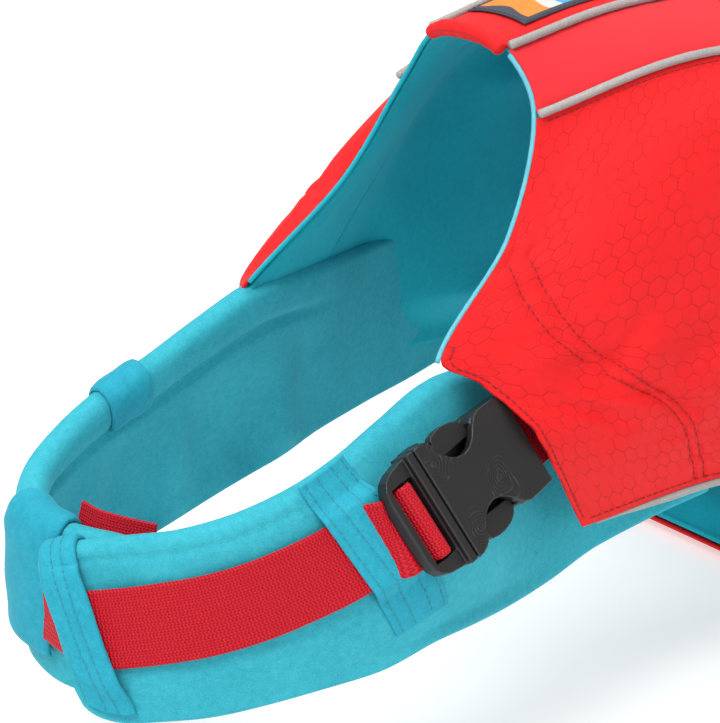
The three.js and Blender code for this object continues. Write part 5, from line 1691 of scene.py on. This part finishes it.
for end, (y0, y1) in (("front", (-28, 65)), ("rear", (151, 225))):
    z0, z1 = (spine_z(y * MM) + GAP + WEB_HALF_T + 0.5 for y in (y0, y1))
    top = max(z0, z1) + HANDLE_H + GRIP_T / 2
    arch = [(y0 - 14, z0), (y0 - 2, z0), (y0 + 7, z0 + 9), (y0 + 18, top - 3), (y0 + 30, top),
            (y1 - 30, top), (y1 - 18, top - 3), (y1 - 7, z1 + 9), (y1 + 2, z1), (y1 + 14, z1)]
    path = eased_path([(0, y * MM, z * MM) for y, z in arch], 60)
    webbing = strap(f"{end}_handle_strap", f"{end}_handle_webbing", path,
                    [(1, 0, 0)] * len(path))
    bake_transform(webbing)
    grip_y = np.linspace(y0 + 24, y1 - 24, GRIP_STEPS) * MM
    around = np.linspace(0, 2 * math.pi, GRIP_SIDES + 1)[:-1]
    half_w, half_t = 15 * MM, GRIP_T / 2 * MM
    pinch = 0.86 + 0.14 * np.sin(np.linspace(0, math.pi, GRIP_STEPS)) ** 0.35
    rings = []
    for shrink in (1, 0.62):
        c, s = np.cos(around), np.sin(around)
        wide = np.sign(c) * np.abs(c) ** 0.45 * half_w * (1 if shrink == 1 else 0.9)
        tall = np.sign(s) * np.abs(s) ** 0.6 * half_t * shrink
        swell = pinch if shrink == 1 else np.ones(GRIP_STEPS)
        wave = 1 + (0.02 * np.sin(grip_y / (3.1 * MM)) if shrink == 1 else 0)
        rings.append(np.stack(np.broadcast_arrays(
            (wide[None] * swell[:, None]), grip_y[:, None],
            top * MM + tall[None] * (swell * wave)[:, None]), -1))
    n, m = GRIP_STEPS, GRIP_SIDES
    verts = np.concatenate([rings[0].reshape(-1, 3), rings[1].reshape(-1, 3)])
    ids = np.arange(n * m).reshape(n, m)
    nxt = np.roll(ids, -1, axis=1)
    outer_faces = np.stack([ids[:-1], nxt[:-1], nxt[1:], ids[1:]], -1).reshape(-1, 4)
    inner_faces = outer_faces[:, ::-1] + n * m
    ends = [np.stack([ids[row], nxt[row], nxt[row] + n * m, ids[row] + n * m], -1)
            for row in (0, n - 1)]
    girth = around * 11 * MM
    places = np.stack(np.broadcast_arrays(grip_y[:, None], girth[None]), -1).reshape(-1, 2)
    grip = mesh_object(f"{end}_handle_sleeve", verts,
                       np.concatenate([outer_faces, inner_faces, *ends]),
                       np.concatenate([places, places]))
    grip.data.materials.append(teal_knit)
    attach(grip, f"{end}_handle")
    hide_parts(f"{end}_handle_grip")
    # Each foot is sewn down with a boxed cross.
    lines = []
    for foot in (y0 - 8, y1 + 8):
        z = spine_z(foot * MM) + 1.75
        box = [(-9, -4.5), (9, -4.5), (9, 4.5), (-9, 4.5), (-9, -4.5), (9, 4.5), (9, -4.5),
               (-9, 4.5)]
        line = np.concatenate([np.linspace(a, b, 12)[:-1] for a, b in zip(box, box[1:])])
        points = np.stack([line[:, 0], foot + line[:, 1], np.full(len(line), z)], 1) * MM
        lines.append((points, np.tile((0, 0, 1.0), (len(points), 1))))
    seam = stitching(f"{end}_handle_box_stitches", lines, 1.8 * MM, 0.5 * MM, red_thread)
    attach(seam, "jacket")


# ------------------------------------------------------------------ leash ring
# A welded steel D ring held by a folded tab of webbing between the two handles.
steel_material, steel_tree, steel_shader = new_material("ring_steel")
w = Wiring(steel_tree)
where = w.put("ShaderNodeTexCoord").outputs["Object"]
brushed = w.noise(where, 700, 4)
w.feed(w.blend(brushed, (0.46, 0.47, 0.49, 1), (0.66, 0.67, 0.69, 1)),
       steel_shader.inputs["Base Color"])
w.feed(w.spread(brushed, 0.3, 0.7, 0.22, 0.42), steel_shader.inputs["Roughness"])
w.feed(w.bump(brushed, 0.02 * MM, 0.4), steel_shader.inputs["Normal"])
steel_shader.inputs["Metallic"].default_value = 1.0
D_RING_Y, D_RING_R, WIRE_R = 112, 13, 1.75
RING_STAND = 5                  # height of the ring's middle over the cloth
ring_z = spine_z(D_RING_Y * MM) + RING_STAND
angles = np.linspace(-math.pi / 2, math.pi / 2, 60)
bow = [(D_RING_R * math.sin(a), D_RING_Y + 3 + D_RING_R * math.cos(a), ring_z) for a in angles]
corner = 2.2
left_corner = [(-D_RING_R + corner * (1 - math.cos(a)), D_RING_Y + corner - corner * math.sin(a),
                ring_z) for a in np.linspace(math.pi / 2, 0, 10)]
right_corner = [(-x, y, z) for x, y, z in reversed(left_corner)]
straight = [(x, D_RING_Y, ring_z) for x in np.linspace(D_RING_R - corner, -D_RING_R + corner, 20)]
loop = np.array(left_corner + bow + right_corner + straight[1:-1]) * MM
tangent = np.roll(loop, -1, axis=0) - np.roll(loop, 1, axis=0)
tangent /= np.linalg.norm(tangent, axis=1, keepdims=True)
out = np.cross(tangent, (0, 0, 1.0))
verts, faces, sides = [], [], 18
for p, o in zip(loop, out):
    for j in range(sides):
        a = 2 * math.pi * j / sides
        verts.append(p + WIRE_R * MM * (o * math.cos(a) + np.array([0, 0, 1]) * math.sin(a)))
count = len(loop)
for i in range(count):
    for j in range(sides):
        a, b = i * sides + j, i * sides + (j + 1) % sides
        c, d = ((i + 1) % count) * sides + (j + 1) % sides, ((i + 1) % count) * sides + j
        faces.append((a, b, c, d))
ring = mesh_object("leash_d_ring", verts, faces)
ring.data.materials.append(steel_material)
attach(ring, "leash_ring")
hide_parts("d_ring")
inner = WIRE_R + 0.35 + WEB_HALF_T
low = -RING_STAND + GAP + 0.9 + WEB_HALF_T
fold = [(-26, low), (-16, low), (-6, low - 0.05), (-1.2, -inner)]
fold += [(inner * math.sin(a), -inner * math.cos(a)) for a in np.linspace(0.1, math.pi - 0.1, 9)]
fold += [(-2.5, inner - 0.35), (-6.5, inner - 1.6), (-12, low + 1.35), (-18, low + 1.3),
         (-26, low + 1.3)]
# The ring's bar lies along X, so the fold runs along Y.
route = [(0, (D_RING_Y + y) * MM, (ring_z + z) * MM) for y, z in fold]
tab = strap("leash_ring_tab", "d_ring_tab", route, [(1, 0, 0)] * len(route), width=20 * MM)
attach(tab, "jacket")
